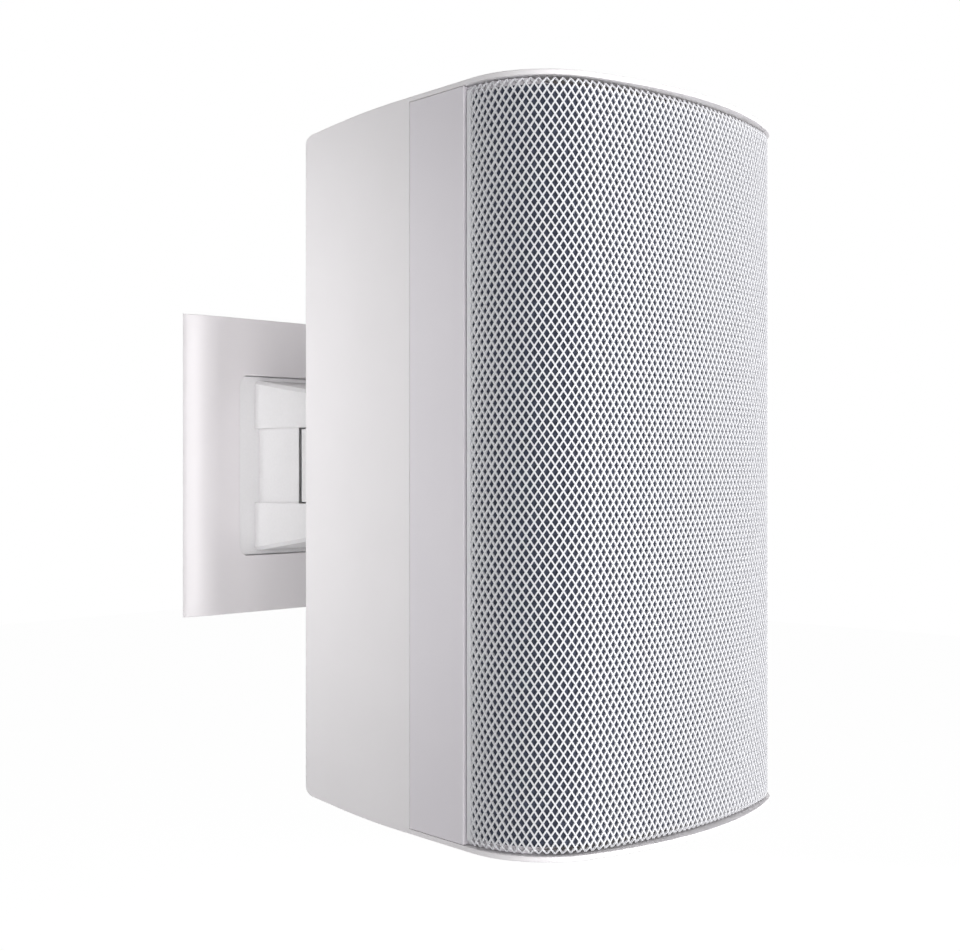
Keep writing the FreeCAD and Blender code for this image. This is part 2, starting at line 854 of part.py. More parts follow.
def dome_d(ball, r):
    return dome_centre - math.sqrt(ball ** 2 - r ** 2)


dome_in = dome_ball - dome_skin
inner_r = math.sqrt(dome_in ** 2 - (dome_centre - rim_d) ** 2)
dome_rim = clamp_r - 0.2
dome_front = [tat(r, dome_d(dome_ball, r)) for r in (0, dome_r / 2, dome_r)]
dome_rear = [tat(r, dome_d(dome_in, r)) for r in (0, inner_r / 2, inner_r)]
dome_edges = [
    arc(dome_front[0], dome_front[1], dome_front[2]),
    line(dome_front[2], tat(dome_rim, dome_base)),
    line(tat(dome_rim, dome_base), tat(dome_rim, rim_d)),
    line(tat(dome_rim, rim_d), dome_rear[2]),
    arc(dome_rear[2], dome_rear[1], dome_rear[0]),
    line(dome_rear[0], dome_front[0]),
]
parts["tweeter_dome"] = turned_edges(dome_edges, 0, tweeter_z)
parts["tweeter_motor"] = turned(
    [
        (0, motor_d),
        (motor_radius - motor_step, motor_d),
        (motor_radius - motor_step, motor_d + motor_lip),
        (motor_radius, motor_d + motor_lip),
        (motor_radius, motor_d + motor_height - motor_lip),
        (motor_radius - motor_step, motor_d + motor_height - motor_lip),
        (motor_radius - motor_step, motor_d + motor_height),
        (0, motor_d + motor_height),
    ],
    0, baffle_y, tweeter_z,
)
parts["tweeter_screws"] = pan_head_screws(
    tweeter_screw_places, baffle_screw_radius, baffle_y - tweeter_face, tweeter_screw_length, 1
)

# Bass ports
port_run = port_curve - port_lip
port_turn = math.atan2(port_mouth, port_curve)
port_arc = port_curve / math.sin(2 * port_turn)
port_points = [
    (port_radius + port_mouth, -port_lip),
    (port_flare, -port_lip),
    (port_flare, 0.0),
    (port_outer, 0.0),
    (port_outer, port_length),
    (port_radius, port_length),
    (port_radius, port_run),
]
port_middle = (port_radius + port_arc * (1 - math.cos(port_turn)), port_run - port_arc * math.sin(port_turn))


def port_tube(x):
    places = [V(x + r, baffle_y + d, port_z) for r, d in port_points]
    edges = [line(a, b) for a, b in zip(places, places[1:])]
    edges.append(arc(places[-1], V(x + port_middle[0], baffle_y + port_middle[1], port_z), places[0]))
    return turned_edges(edges, x, port_z)


parts["port_tube_left"] = port_tube(-port_x)
parts["port_tube_right"] = port_tube(port_x)

# Crossover on four standoffs of the back wall
board_y = standoff_y - board_thickness
board = block(
    -board_width / 2, board_width / 2, board_y, standoff_y,
    board_centre_z - board_height / 2, board_centre_z + board_height / 2,
)
board_clear = [rod_y(small_hole, x, z, board_y - 1, standoff_y + 1) for x, z in board_holes]
parts["crossover_board"] = board.cut(board_clear)
parts["crossover_screws"] = pan_head_screws(board_holes, small_screw_radius, board_y, board_screw_length, 1)
coil_x = board_width / 4
coil_z = board_centre_z - board_height / 5
parts["crossover_coil_large"] = ring(
    large_coil_radius, large_coil_bore, board_y - large_coil_height, board_y, -coil_x, coil_z
)
parts["crossover_coil_small"] = ring(
    small_coil_radius, small_coil_bore, board_y - small_coil_height, board_y, coil_x, coil_z
)
cap_z = board_centre_z + board_height / 4


def capacitor(x, radius):
    half = capacitor_length / 2
    foot_half = half * 0.8
    rise = radius / 6
    body = rod(radius, V(x - half, board_y - radius - 0.5, cap_z), V(capacitor_length, 0, 0))
    foot = block(x - foot_half, x + foot_half, board_y - radius, board_y, cap_z - rise, cap_z + rise)
    return body.fuse(foot).removeSplitter()


parts["crossover_capacitor_large"] = capacitor(-board_width * 0.25, large_capacitor_radius)
parts["crossover_capacitor_small"] = capacitor(board_width * 0.15, small_capacitor_radius)
resistor_x = board_width * 0.4
resistor_top = cap_z + resistor_length / 3
parts["crossover_resistor"] = block(
    resistor_x - resistor_width / 2, resistor_x + resistor_width / 2, board_y - resistor_height, board_y,
    resistor_top - resistor_length, resistor_top,
)

# Line transformer on the back wall between the bracket bosses
core_y = inside_back_y - core_depth
core = block(-core_width / 2, core_width / 2, core_y, inside_back_y, -core_height / 2, core_height / 2)
window_half = core_height / 2 - core_leg
core_cuts = [
    block(core_leg, core_width / 2 - core_leg, core_y - 1, inside_back_y + 1, -window_half, window_half),
    block(core_leg - core_width / 2, -core_leg, core_y - 1, inside_back_y + 1, -window_half, window_half),
]
core_cuts = core_cuts + [rod_y(small_hole, x, z, core_y - 1, inside_back_y + 1) for x, z in core_screw_places]
parts["transformer_core"] = core.cut(core_cuts)
winding_half_x = core_width / 2 - core_leg - winding_gap
winding_half_z = window_half - winding_gap
winding = block(
    -winding_half_x, winding_half_x, core_y - winding_overhang, inside_back_y - winding_gap,
    -winding_half_z, winding_half_z,
)
leg_half = core_leg + bush_gap
leg = block(
    -leg_half, leg_half, core_y - bush_gap, inside_back_y + 1, -winding_half_z - 1, winding_half_z + 1
)
parts["transformer_winding"] = winding.cut(leg)
core_screw_length = core_depth + core_screw_bite
parts["transformer_screws"] = pan_head_screws(
    core_screw_places, small_screw_radius, core_y, core_screw_length, 1
)

# Input panel: flanged tray in the back wall, with terminals and a tap selector
floor_y = back_y - tray_depth
flange = rounded_block(
    panel_width / 2, panel_height / 2, tray_corner + 1.0, back_y, back_y + panel_flange, panel_centre_z
)
tray = rounded_block(tray_half_x, tray_half_z, tray_corner, floor_y - tray_skin, back_y + 0.5, panel_centre_z)
hollow = rounded_block(
    tray_half_x - tray_skin, tray_half_z - tray_skin, tray_corner / 2,
    floor_y, back_y + panel_flange + 1, panel_centre_z,
)
bush_hole = bush_radius + bush_gap
panel_cuts = [hollow, rod_y(bush_hole, knob_x, panel_centre_z, floor_y - 2 * tray_skin, floor_y + 1)]
panel_cuts = panel_cuts + [
    rod_y(small_hole, x, z, back_y - 1, back_y + panel_flange + 1) for x, z in panel_screw_places
]
parts["input_panel"] = flange.fuse(tray).removeSplitter().cut(panel_cuts)
parts["panel_screws"] = pan_head_screws(
    panel_screw_places, small_screw_radius, back_y + panel_flange, panel_screw_length, -1
)
terminal_right = knob_x - knob_radius - terminal_from_knob
terminal_left = terminal_right - terminal_width
terminal_half = terminal_height / 2
terminal_front = floor_y + terminal_depth
terminal = block(
    terminal_left, terminal_right, floor_y, terminal_front,
    panel_centre_z - terminal_half, panel_centre_z + terminal_half,
)
wire_x = [(terminal_left + terminal_right) / 2 + wire_pitch * (k - 1.5) for k in range(4)]
wire_z = panel_centre_z - terminal_height / 6
wire_holes = [rod_y(wire_hole_radius, x, wire_z, floor_y + 2.0, terminal_front + 1) for x in wire_x]
parts["terminal_block"] = terminal.cut(wire_holes)
switch_front = floor_y - tray_skin
switch = rod_y(switch_radius, knob_x, panel_centre_z, switch_front - switch_depth, switch_front)
switch = switch.fuse(rod_y(bush_radius, knob_x, panel_centre_z, switch_front - 0.5, floor_y)).removeSplitter()
parts["tap_switch"] = switch.cut(
    rod_y(knob_shaft_radius + shaft_gap, knob_x, panel_centre_z, floor_y - knob_shaft_length - 2, floor_y + 1)
)
knob = rod_y(knob_radius, knob_x, panel_centre_z, floor_y + turning_gap, floor_y + knob_height)
knob_rim = [e for e in knob.Edges if e.BoundBox.YMin > floor_y + knob_height - 0.1]
knob = knob.makeChamfer(knob_chamfer, knob_rim)
shaft = rod_y(knob_shaft_radius, knob_x, panel_centre_z, floor_y - knob_shaft_length, floor_y + 2.0)
pointer = block(
    knob_x - pointer_half, knob_x + pointer_half,
    floor_y + knob_height - pointer_half, floor_y + knob_height + 1,
    panel_centre_z + 2.0, panel_centre_z + knob_radius + 1,
)
parts["tap_knob"] = knob.fuse(shaft).removeSplitter().cut(pointer)

# Wall bracket, cover and fork
bracket_plate_half_x = cover_width / 2 - bracket_side_gap
bracket_plate_half_z = cover_height / 2 - cover_wall - cover_draft - bracket_end_gap
flange_back = -bracket_thickness
flange_face = flange_back - fork_flange
bracket = rounded_block(bracket_plate_half_x, bracket_plate_half_z, 6.0, flange_back, 0.0, 0.0)
wall_holes = [(sx * wall_hole_x, sz * wall_hole_z) for sx in (-1, 1) for sz in (-1, 1)]
bolt_x = (fork_half_width + opening_width / 2) / 2
bolt_z = opening_height / 2 - fork_bolt_margin
bolt_places = [(sx * bolt_x, sz * bolt_z) for sx in (-1, 1) for sz in (-1, 1)]
bracket_cuts = [rod_y(wall_hole_radius, x, z, flange_back - 1, 1.0) for x, z in wall_holes]
fork_bolts = []
fork_cuts = []
for x, z in bolt_places:
    wide = fork_bolt_radius * 2
    seat = Part.makeCone(
        wide + bush_gap, fork_bolt_radius + bush_gap, bracket_thickness, V(x, 0, z), V(0, -1, 0)
    )
    bracket_cuts.append(seat)
    head = Part.makeCone(wide, fork_bolt_radius, bracket_thickness, V(x, 0, z), V(0, -1, 0))
    shank = rod_y(fork_bolt_radius, x, z, flange_back - fork_bolt_length, flange_back)
    fork_bolts.append(head.fuse(shank).removeSplitter())
    fork_cuts.append(
        rod_y(fork_bolt_radius + bush_gap, x, z, flange_back - fork_bolt_length - 0.4, flange_back + 1)
    )
parts["wall_bracket"] = bracket.cut(bracket_cuts)
parts["fork_bolts"] = Part.makeCompound(fork_bolts)

lip_y = -cover_off_wall - cover_lip
shoulder = cover_width / 2 - cover_face_half
fall_back = cover_bend - cover_thickness - lip_y
shoulder_turn = math.atan2(shoulder, fall_back) - math.acos(cover_bend / math.hypot(shoulder, fall_back))


# Cover in plan: flat face, rounded bend, sloping shoulder, rounded corner and upright edge
def cover_profile(inset):
    half = cover_width / 2 - inset
    bend = cover_bend - inset
    corner = cover_edge_radius - inset
    low = -cover_height / 2
    slope = V(math.cos(shoulder_turn), math.sin(shoulder_turn), 0)
    centre = V(cover_face_half, -cover_thickness + cover_bend, low)
    angles = [0.0, shoulder_turn / 2, shoulder_turn]
    right = [centre + V(bend * math.sin(a), -bend * math.cos(a), 0) for a in angles]
    lip = right[2] + slope * ((half - right[2].x) / slope.x)
    back_off = corner * math.tan(math.pi / 4 - shoulder_turn / 2)
    middle = math.pi / 4 + shoulder_turn / 2
    right.append(lip - slope * back_off)
    right.append(lip + V(corner * (math.sin(middle) - 1), back_off - corner * math.cos(middle), 0))
    right.append(lip + V(0, back_off, 0))
    right.append(V(half, -cover_off_wall + (0 if inset == 0 else 2), low))
    left = [V(-p.x, p.y, p.z) for p in right]
    edges = [
        line(left[0], right[0]),
        line(right[6], left[6]),
    ]
    for side in (left, right):
        edges.append(arc(side[0], side[1], side[2]))
        edges.append(line(side[2], side[3]))
        edges.append(arc(side[3], side[4], side[5]))
        edges.append(line(side[5], side[6]))
    return closed_face(edges).extrude(V(0, 0, cover_height))


half_cover = cover_height / 2
draft = polygon(
    [
        V(-cover_width, 0, half_cover),
        V(-cover_width, -cover_thickness - 1, half_cover - cover_draft),
        V(-cover_width, -cover_thickness - 1, cover_draft - half_cover),
        V(-cover_width, 0, -half_cover),
    ]
).extrude(V(2 * cover_width, 0, 0))
inner_half = half_cover - cover_wall - cover_draft
limit = block(-cover_width, cover_width, -cover_thickness, 3, -inner_half, inner_half)
cover = cover_profile(0).common(draft).cut(cover_profile(cover_wall).common(limit))
collar_stop = flange_back - 1.0
collar = rounded_block(
    opening_width / 2 + cover_wall, opening_height / 2 + cover_wall, opening_radius + cover_wall,
    -cover_thickness + 0.5, collar_stop, 0.0,
)
clip_x = wall_hole_x - clip_margin
clip_z = bracket_plate_half_z - clip_margin
clips = [
    rod_y(clip_radius, sx * clip_x, sz * clip_z, -cover_thickness + 0.5, flange_back)
    for sx in (-1, 1)
    for sz in (-1, 1)
]
mouth = rounded_block(
    opening_width / 2, opening_height / 2, opening_radius, -cover_thickness - 1, 1.0, 0.0
)
cover = cover.multiFuse([collar] + clips).removeSplitter().cut(mouth)


# Edges of the cover that are rounded: round its opening and along its top and bottom
def on_rim(edge):
    box = edge.BoundBox
    wide = max(abs(box.XMin), abs(box.XMax))
    tall = max(abs(box.ZMin), abs(box.ZMax))
    low = min(abs(box.ZMin), abs(box.ZMax))
    round_opening = wide < opening_width / 2 + 1e-6 and tall < opening_height / 2 + 1e-6
    at_end = low > half_cover - cover_draft - 0.1 and box.YMin < -cover_off_wall - 0.1
    return at_end or (round_opening and box.YMax < -cover_thickness + 1e-6)


parts["wall_cover"] = cover.makeFillet(rim_radius, [e for e in cover.Edges if on_rim(e)])

fork_slope = math.tan(math.radians(fork_fall))
tip_y = pan_y - fork_half_width


def upright(radius):
    return rod(radius, V(0, pan_y, -long_cut), V(0, 0, 2 * long_cut))


def fork_top(y):
    return fork_base_half + fork_slope * (y - flange_face)


def fork_arm(side):
    points = [
        V(-fork_half_width, flange_face + 1, side * fork_top(flange_face)),
        V(-fork_half_width, flange_face, side * fork_top(flange_face)),
        V(-fork_half_width, tip_y, side * fork_top(tip_y)),
        V(-fork_half_width, tip_y, side * fork_slot_half),
        V(-fork_half_width, flange_face + 1, side * fork_slot_half),
    ]
    arm = polygon(points).extrude(V(2 * fork_half_width, 0, 0))
    straight = block(-fork_half_width, fork_half_width, pan_y, 0, -long_cut, long_cut)
    tip = upright(fork_half_width)
    arm = arm.common(straight.fuse(tip).removeSplitter())
    low = fork_top(tip_y) - 1
    edges = [
        e for e in arm.Edges
        if min(abs(e.BoundBox.ZMin), abs(e.BoundBox.ZMax)) > low
        and e.BoundBox.YMax < flange_face + 0.5
        and e.BoundBox.YLength > 1
    ]
    return arm.makeChamfer(fork_edge, edges)


web = block(
    -web_half_width, web_half_width, pan_y, flange_face + 1, -fork_slot_half - 1, fork_slot_half + 1
).cut(upright(knuckle_back_radius + web_gap))
flange_block = rounded_block(
    opening_width / 2 - fork_flange_gap, opening_height / 2 - fork_flange_gap,
    opening_radius - fork_flange_gap, flange_face, flange_back, 0.0,
)
spot_z = fork_top(pan_y) - spot_depth
fork_cuts.append(upright(pan_bolt_radius + shaft_gap))
fork_cuts.append(rod(spot_radius, V(0, pan_y, spot_z), V(0, 0, long_cut)))
fork_cuts.append(rod(spot_radius, V(0, pan_y, -spot_z - long_cut), V(0, 0, long_cut)))
fork = flange_block.multiFuse([fork_arm(1), fork_arm(-1), web]).removeSplitter()
parts["wall_fork"] = fork.cut(fork_cuts)


def hex_prism(radius, start, way, flat):
    side = way.cross(flat)
    side.normalize()
    points = []
    for k in range(6):
        a = math.pi / 3 * k
        points.append(start + flat * (radius * math.cos(a)) + side * (radius * math.sin(a)))
    return polygon(points).extrude(way)


def across(radius):
    return rod(radius, V(-long_cut, tilt_y, 0), V(2 * long_cut, 0, 0))


# Pan joint: bolt held by the fork, knuckle turning on it
pan_head = rod(pan_head_radius, V(0, pan_y, spot_z), V(0, 0, bolt_head_height))
pan_socket = hex_prism(pan_head_radius / 2, V(0, pan_y, spot_z + 2), V(0, 0, bolt_head_height), V(1, 0, 0))
pan_low = -spot_z - nut_height - bolt_end
pan_shank = rod(pan_bolt_radius, V(0, pan_y, pan_low), V(0, 0, spot_z + 1 - pan_low))
parts["pan_bolt"] = pan_shank.fuse(pan_head).removeSplitter().cut(pan_socket)
pan_nut = hex_prism(pan_nut_radius, V(0, pan_y, -spot_z - nut_height), V(0, 0, nut_height), V(1, 0, 0))
parts["pan_nut"] = pan_nut.cut(upright(pan_bolt_radius + nut_gap))
washer_top = fork_slot_half - turning_gap
knuckle_half = washer_top - washer_thickness
bore = upright(pan_bolt_radius + shaft_gap)
pan_washers = [
    rod(pan_washer_radius, V(0, pan_y, z), V(0, 0, washer_thickness)).cut(bore)
    for z in (knuckle_half, -washer_top)
]
parts["pan_washers"] = Part.makeCompound(pan_washers)

lug = block(
    -web_half_width, web_half_width, pan_y - lug_front, pan_y + knuckle_back_radius,
    -knuckle_half, knuckle_half,
).common(upright(knuckle_back_radius))
tongue_rise = math.sqrt(tongue_radius ** 2 - tongue_fall ** 2) - 0.1
tongue_side = polygon(
    [
        V(-tongue_half, pan_y, knuckle_half),
        V(-tongue_half, pan_y - lug_front, knuckle_half),
        V(-tongue_half, tilt_y + tongue_fall, tongue_rise),
        V(-tongue_half, tilt_y + tongue_fall, -tongue_rise),
        V(-tongue_half, pan_y - lug_front, -knuckle_half),
        V(-tongue_half, pan_y, -knuckle_half),
    ]
).extrude(V(2 * tongue_half, 0, 0))
tongue_end = rod(tongue_radius, V(-tongue_half, tilt_y, 0), V(2 * tongue_half, 0, 0))
tilt_bore = across(tilt_bolt_radius + shaft_gap)
knuckle = lug.multiFuse([tongue_side, tongue_end]).removeSplitter()
parts["pan_knuckle"] = knuckle.cut([bore, tilt_bore])

# Tilt joint and the bracket on the speaker
ear_inner = tongue_half + washer_thickness + turning_gap
ear_outer = ear_inner + ear_thickness
tilt_washers = []
for x in (tongue_half, -tongue_half - washer_thickness):
    washer = rod(tongue_radius - 1, V(x, tilt_y, 0), V(washer_thickness, 0, 0))
    tilt_washers.append(washer.cut(tilt_bore))
parts["tilt_washers"] = Part.makeCompound(tilt_washers)
plate_y = back_y + speaker_plate
speaker_bracket = rounded_block(
    speaker_plate_width / 2, speaker_plate_height / 2, 8.0, back_y, plate_y, 0.0
)
ears = []
for x in (ear_inner, -ear_outer):
    root = block(x, x + ear_thickness, back_y + 1, tilt_y, -ear_radius, ear_radius)
    tip = rod(ear_radius, V(x, tilt_y, 0), V(ear_thickness, 0, 0))
    ears.append(root.fuse(tip))
speaker_bracket = speaker_bracket.multiFuse(ears).removeSplitter()
bracket_hole = bracket_screw_radius + 2 * screw_gap
bracket_holes = [rod_y(bracket_hole, x, z, back_y - 1, plate_y + 1) for x, z in screw_places]
parts["speaker_bracket"] = speaker_bracket.cut(bracket_holes + [tilt_bore])
tilt_length = 2 * ear_outer + nut_height + bolt_end
tilt_shank = rod(tilt_bolt_radius, V(-ear_outer - 1, tilt_y, 0), V(tilt_length + 1, 0, 0))
tilt_head_x = -ear_outer - bolt_head_height
tilt_head = rod(tilt_head_radius, V(tilt_head_x, tilt_y, 0), V(bolt_head_height, 0, 0))
tilt_socket = hex_prism(
    tilt_head_radius / 2, V(tilt_head_x - 1, tilt_y, 0), V(bolt_head_height - 1, 0, 0), V(0, 0, 1)
)
parts["tilt_bolt"] = tilt_shank.fuse(tilt_head).removeSplitter().cut(tilt_socket)
tilt_nut = hex_prism(tilt_nut_radius, V(ear_outer, tilt_y, 0), V(nut_height, 0, 0), V(0, 0, 1))
parts["tilt_nut"] = tilt_nut.cut(across(tilt_bolt_radius + nut_gap))
parts["bracket_screws"] = pan_head_screws(
    screw_places, bracket_screw_radius, plate_y, speaker_plate + insert_length - 2.0, -1
)
inserts = [
    ring(insert_radius - insert_gap, bracket_screw_radius + bush_gap, back_y - insert_length, back_y, x, z)
    for x, z in screw_places
]
parts["bracket_inserts"] = Part.makeCompound(inserts)

for name, shape in parts.items():
    shape.exportStep("parts/%s.step" % name)
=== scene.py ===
"""Looks of a wall-mounted two-way speaker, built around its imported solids."""

import math

import bpy
import numpy as np
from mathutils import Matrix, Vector


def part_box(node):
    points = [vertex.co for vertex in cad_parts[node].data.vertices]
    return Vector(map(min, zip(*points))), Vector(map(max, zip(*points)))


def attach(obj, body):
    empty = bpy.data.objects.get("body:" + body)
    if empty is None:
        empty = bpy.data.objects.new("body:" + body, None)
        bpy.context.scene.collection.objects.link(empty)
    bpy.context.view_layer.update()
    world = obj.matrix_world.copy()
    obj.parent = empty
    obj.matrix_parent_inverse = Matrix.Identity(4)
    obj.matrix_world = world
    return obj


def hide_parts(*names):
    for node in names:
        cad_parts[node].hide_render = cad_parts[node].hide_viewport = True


bl_info = {
    "name": "Surface-Mount Speaker Looks",
    "version": (1, 0, 0),
    "blender": (4, 5, 0),
    "location": "3D View > Sidebar > Speaker",
    "description": "Builds the mesh, the wall cover, the finishes and the studio of a wall-mounted speaker",
    "category": "Object",
}

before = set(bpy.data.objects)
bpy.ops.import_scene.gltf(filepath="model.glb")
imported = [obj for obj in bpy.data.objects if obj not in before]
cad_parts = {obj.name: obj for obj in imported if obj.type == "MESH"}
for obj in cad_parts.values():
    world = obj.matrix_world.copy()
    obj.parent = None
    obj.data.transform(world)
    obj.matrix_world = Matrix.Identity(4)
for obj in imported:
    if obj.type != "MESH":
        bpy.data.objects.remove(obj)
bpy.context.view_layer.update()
CABINET_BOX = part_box("rear_cabinet")
GRILLE_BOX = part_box("grille")
COVER_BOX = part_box("wall_cover")

MM = 0.001
RIGHT_ANGLE = math.pi / 2
MERGE_STEP = 1e-7

# Points of the wall cover: a quarter of the opening (side, corner, top) and the stretches of its section.
QUARTER_STEPS = (16, 12, 12)
RIM_POINTS = 7
FACE_POINTS = 53
INSIDE_POINTS = 27
SHARP_ANGLE = math.radians(40)

# Camera of the photo: focal length and width in pixels, sensor in millimetres, place and line of sight.
FOCAL_PIXELS = 1500.0
PHOTO_WIDTH = 960.0
SENSOR_WIDTH = 36.0
CAMERA_PLACE = (-0.7192, -0.8555, 0.0)
CAMERA_LINE = (0.740, 0.673, 0.0)
CAMERA_SHIFT = -0.0104

# Soft lights: name, place, aim, width and height in metres, and the setting that holds the power.
MIDDLE = (0.0, -0.25, 0.0)
SOFTBOXES = (
    ("front_softbox", (0.4, -2.15, -0.02), MIDDLE, (1.2, 1.5), "key"),
    ("right_softbox", (1.36, -2.0, 0.1), MIDDLE, (1.2, 1.2), "right"),
    ("left_softbox", (-1.2, -1.6, 0.05), MIDDLE, (0.9, 0.9), "left"),
    ("low_softbox", (0.2, -1.5, -1.3), MIDDLE, (0.9, 0.6), "level"),
    ("high_softbox", (0.2, -1.5, 1.3), MIDDLE, (0.9, 0.6), "level"),
    ("far_side_softbox", (1.9, 0.75, 0.2), MIDDLE, (1.4, 1.4), "around"),
    ("top_softbox", (0.1, 0.75, 1.9), MIDDLE, (1.4, 1.4), "around"),
    ("back_softbox", (-0.45, 1.85, 0.3), MIDDLE, (1.4, 1.4), "behind"),
    ("side_softbox", (-1.3, 0.35, 0.05), (-0.12, -0.2, 0.0), (0.9, 0.9), "side"),
    ("near_softbox", (-0.27, -0.05, 0.02), (-0.12, -0.14, 0.0), (0.10, 0.4), "near"),
)

# Floor: half its width, points along each side, its paper, and how white the camera sees it.
FLOOR_REACH = 6.0
FLOOR_POINTS = 13
FLOOR_PAPER = "#F4F4F4"
FLOOR_WHITE_SHARE = 0.94
FLOOR_WHITE_STRENGTH = 1.05

# Indices of refraction of moulded plastic, powder coat and fibre, and the slow drift of tone in a moulding.
PLASTIC_IOR = 1.53
COAT_IOR = 1.5
FIBRE_IOR = 1.45
DRIFT_SCALE = 1 / (55.56 * MM)

# Tool marks are this many times longer than they are apart. At scale 1 a wave texture's bands repeat every
# 2 pi / 20 metres.
STREAK = 12.0
WAVE_PERIOD = 2 * math.pi / 20


class GrilleSizes(bpy.types.PropertyGroup):
    """Sizes of the bowed diamond mesh and of the outline that it follows."""

    cabinet_width: bpy.props.FloatProperty(
        name="Cabinet width", description="Width of the cabinet across its corner arcs", default=0.2454,
        unit="LENGTH")
    front: bpy.props.FloatProperty(
        name="Front", description="Place of the cabinet's foremost line along Y", default=CABINET_BOX[0][1],
        unit="LENGTH")
    bow_radius: bpy.props.FloatProperty(
        name="Bow radius", description="Radius of the cabinet's bowed front", default=0.252, unit="LENGTH")
    corner_radius: bpy.props.FloatProperty(
        name="Corner radius", description="Radius of the cabinet's front corners", default=0.051,
        unit="LENGTH")
    side_taper: bpy.props.FloatProperty(
        name="Side taper", description="Angle at which the sides run in", default=math.radians(8),
        subtype="ANGLE")
    side_inset: bpy.props.FloatProperty(
        name="Side inset", description="Mesh's middle, in from the cabinet's side", default=0.0018,
        unit="LENGTH")
    front_inset: bpy.props.FloatProperty(
        name="Front inset", description="Mesh's middle, back from the foremost line", default=0.0056,
        unit="LENGTH")
    edge_depth: bpy.props.FloatProperty(
        name="Edge depth", description="Where the mesh ends at each side, back from the front",
        default=0.0769, unit="LENGTH")
    half_height: bpy.props.FloatProperty(
        name="Half height", description="Height of the mesh above its middle", default=GRILLE_BOX[1][2],
        unit="LENGTH")
    pitch_across: bpy.props.FloatProperty(
        name="Pitch across", description="Distance between diamonds, across", default=0.00441, unit="LENGTH")
    pitch_up: bpy.props.FloatProperty(
        name="Pitch up", description="Distance between diamonds, upwards", default=0.00668, unit="LENGTH")
    strand: bpy.props.FloatProperty(
        name="Strand", description="Width of one strand", default=0.00084, unit="LENGTH")
    thickness: bpy.props.FloatProperty(
        name="Thickness", description="Thickness of the sheet", default=0.0011, unit="LENGTH")
    border: bpy.props.FloatProperty(
        name="Border", description="Plain border at each side", default=0.0030, unit="LENGTH")
    roll: bpy.props.FloatProperty(
        name="Roll", description="Radius at which the top and bottom edges turn in", default=0.0012,
        unit="LENGTH")


class CoverSizes(bpy.types.PropertyGroup):
    """Sizes of the wall cover and of its opening for the fork."""

    half_width: bpy.props.FloatProperty(
        name="Half width", description="Half the cover's width at the wall", default=COVER_BOX[1][0],
        unit="LENGTH")
    half_height: bpy.props.FloatProperty(
        name="Half height", description="Half the cover's height at the wall", default=0.10575, unit="LENGTH")
    thickness: bpy.props.FloatProperty(
        name="Thickness", description="Face of the cover, out from the wall", default=-COVER_BOX[0][1],
        unit="LENGTH")
    round_width: bpy.props.FloatProperty(
        name="Round width", description="Width of the rounded sides", default=0.022, unit="LENGTH")
    lip: bpy.props.FloatProperty(
        name="Lip", description="Upright edge at the wall", default=0.001, unit="LENGTH")
    off_wall: bpy.props.FloatProperty(
        name="Off the wall", description="Gap between edge and wall", default=-COVER_BOX[1][1], unit="LENGTH")
    wall: bpy.props.FloatProperty(
        name="Wall", description="Thickness of the moulding", default=0.0022, unit="LENGTH")
    draft: bpy.props.FloatProperty(
        name="Draft", description="How far the ends lean in at the face", default=0.00117, unit="LENGTH")
    opening_width: bpy.props.FloatProperty(
        name="Opening width", description="Half the opening's width", default=0.0468, unit="LENGTH")
    opening_height: bpy.props.FloatProperty(
        name="Opening height", description="Half the opening's height", default=0.0643, unit="LENGTH")
    opening_radius: bpy.props.FloatProperty(
        name="Opening radius", description="Corner radius of the opening", default=0.0078, unit="LENGTH")
    rim: bpy.props.FloatProperty(
        name="Rim", description="Rounding of the rims", default=0.0005, unit="LENGTH")
    collar_end: bpy.props.FloatProperty(
        name="Collar end", description="Where the opening's collar ends, out from the wall", default=0.004,
        unit="LENGTH")


class FinishColours(bpy.types.PropertyGroup):
    """Colours of the finishes that show, as sRGB hex values: each has a main tone and a deeper one. On the
    mesh and casting they are a painted highlight on the coat's crowns and painted shade in its troughs, the
    foam's deeper one is painted shade in its cells, and the strip's greyer tones are painted shade.
    """

    cabinet: bpy.props.StringProperty(name="Cabinet", description="Moulded cabinet", default="#F0EDEF")
    cabinet_deep: bpy.props.StringProperty(
        name="Cabinet, deep", description="Moulded cabinet, deeper tone", default="#EAE7E9")
    # Side strip: both tones a little greyer than the cabinet's, as painted shade on the strip.
    strip: bpy.props.StringProperty(
        name="Side strip", description="Moulded baffle and its strips", default="#E5E1E6")
    strip_deep: bpy.props.StringProperty(
        name="Side strip, deep", description="Moulded baffle, deeper tone", default="#DFDBE1")
    # Mesh: the main tone shows on the coat's crowns as a painted highlight, the deep one in its troughs as
    # painted shade.
    mesh: bpy.props.StringProperty(name="Mesh", description="Coated mesh", default="#E0E0E3")
    mesh_painted_shade: bpy.props.StringProperty(
        name="Mesh, deep", description="Coated mesh, deeper tone", default="#D9D9DD")
    mount: bpy.props.StringProperty(name="Mount", description="Moulded wall cover", default="#F0ECEE")
    mount_deep: bpy.props.StringProperty(
        name="Mount, deep", description="Moulded wall cover, deeper tone", default="#EBE7EA")
    # Casting: the main tone shows on the coat's crowns as a painted highlight, the deep one in its troughs as
    # painted shade.
    casting: bpy.props.StringProperty(
        name="Casting", description="Fork, knuckle and bracket", default="#F1F0F1")
    casting_painted_shade: bpy.props.StringProperty(
        name="Casting, deep", description="Fork, knuckle and bracket, deeper tone", default="#EAE9EA")
    # Foam: the deep tone is painted shade in the hollows of its cells.
    foam: bpy.props.StringProperty(name="Foam", description="Foam behind the mesh", default="#4A4F60")
    foam_painted_shade: bpy.props.StringProperty(
        name="Foam, deep", description="Foam behind the mesh, in its cells", default="#2A2D38")


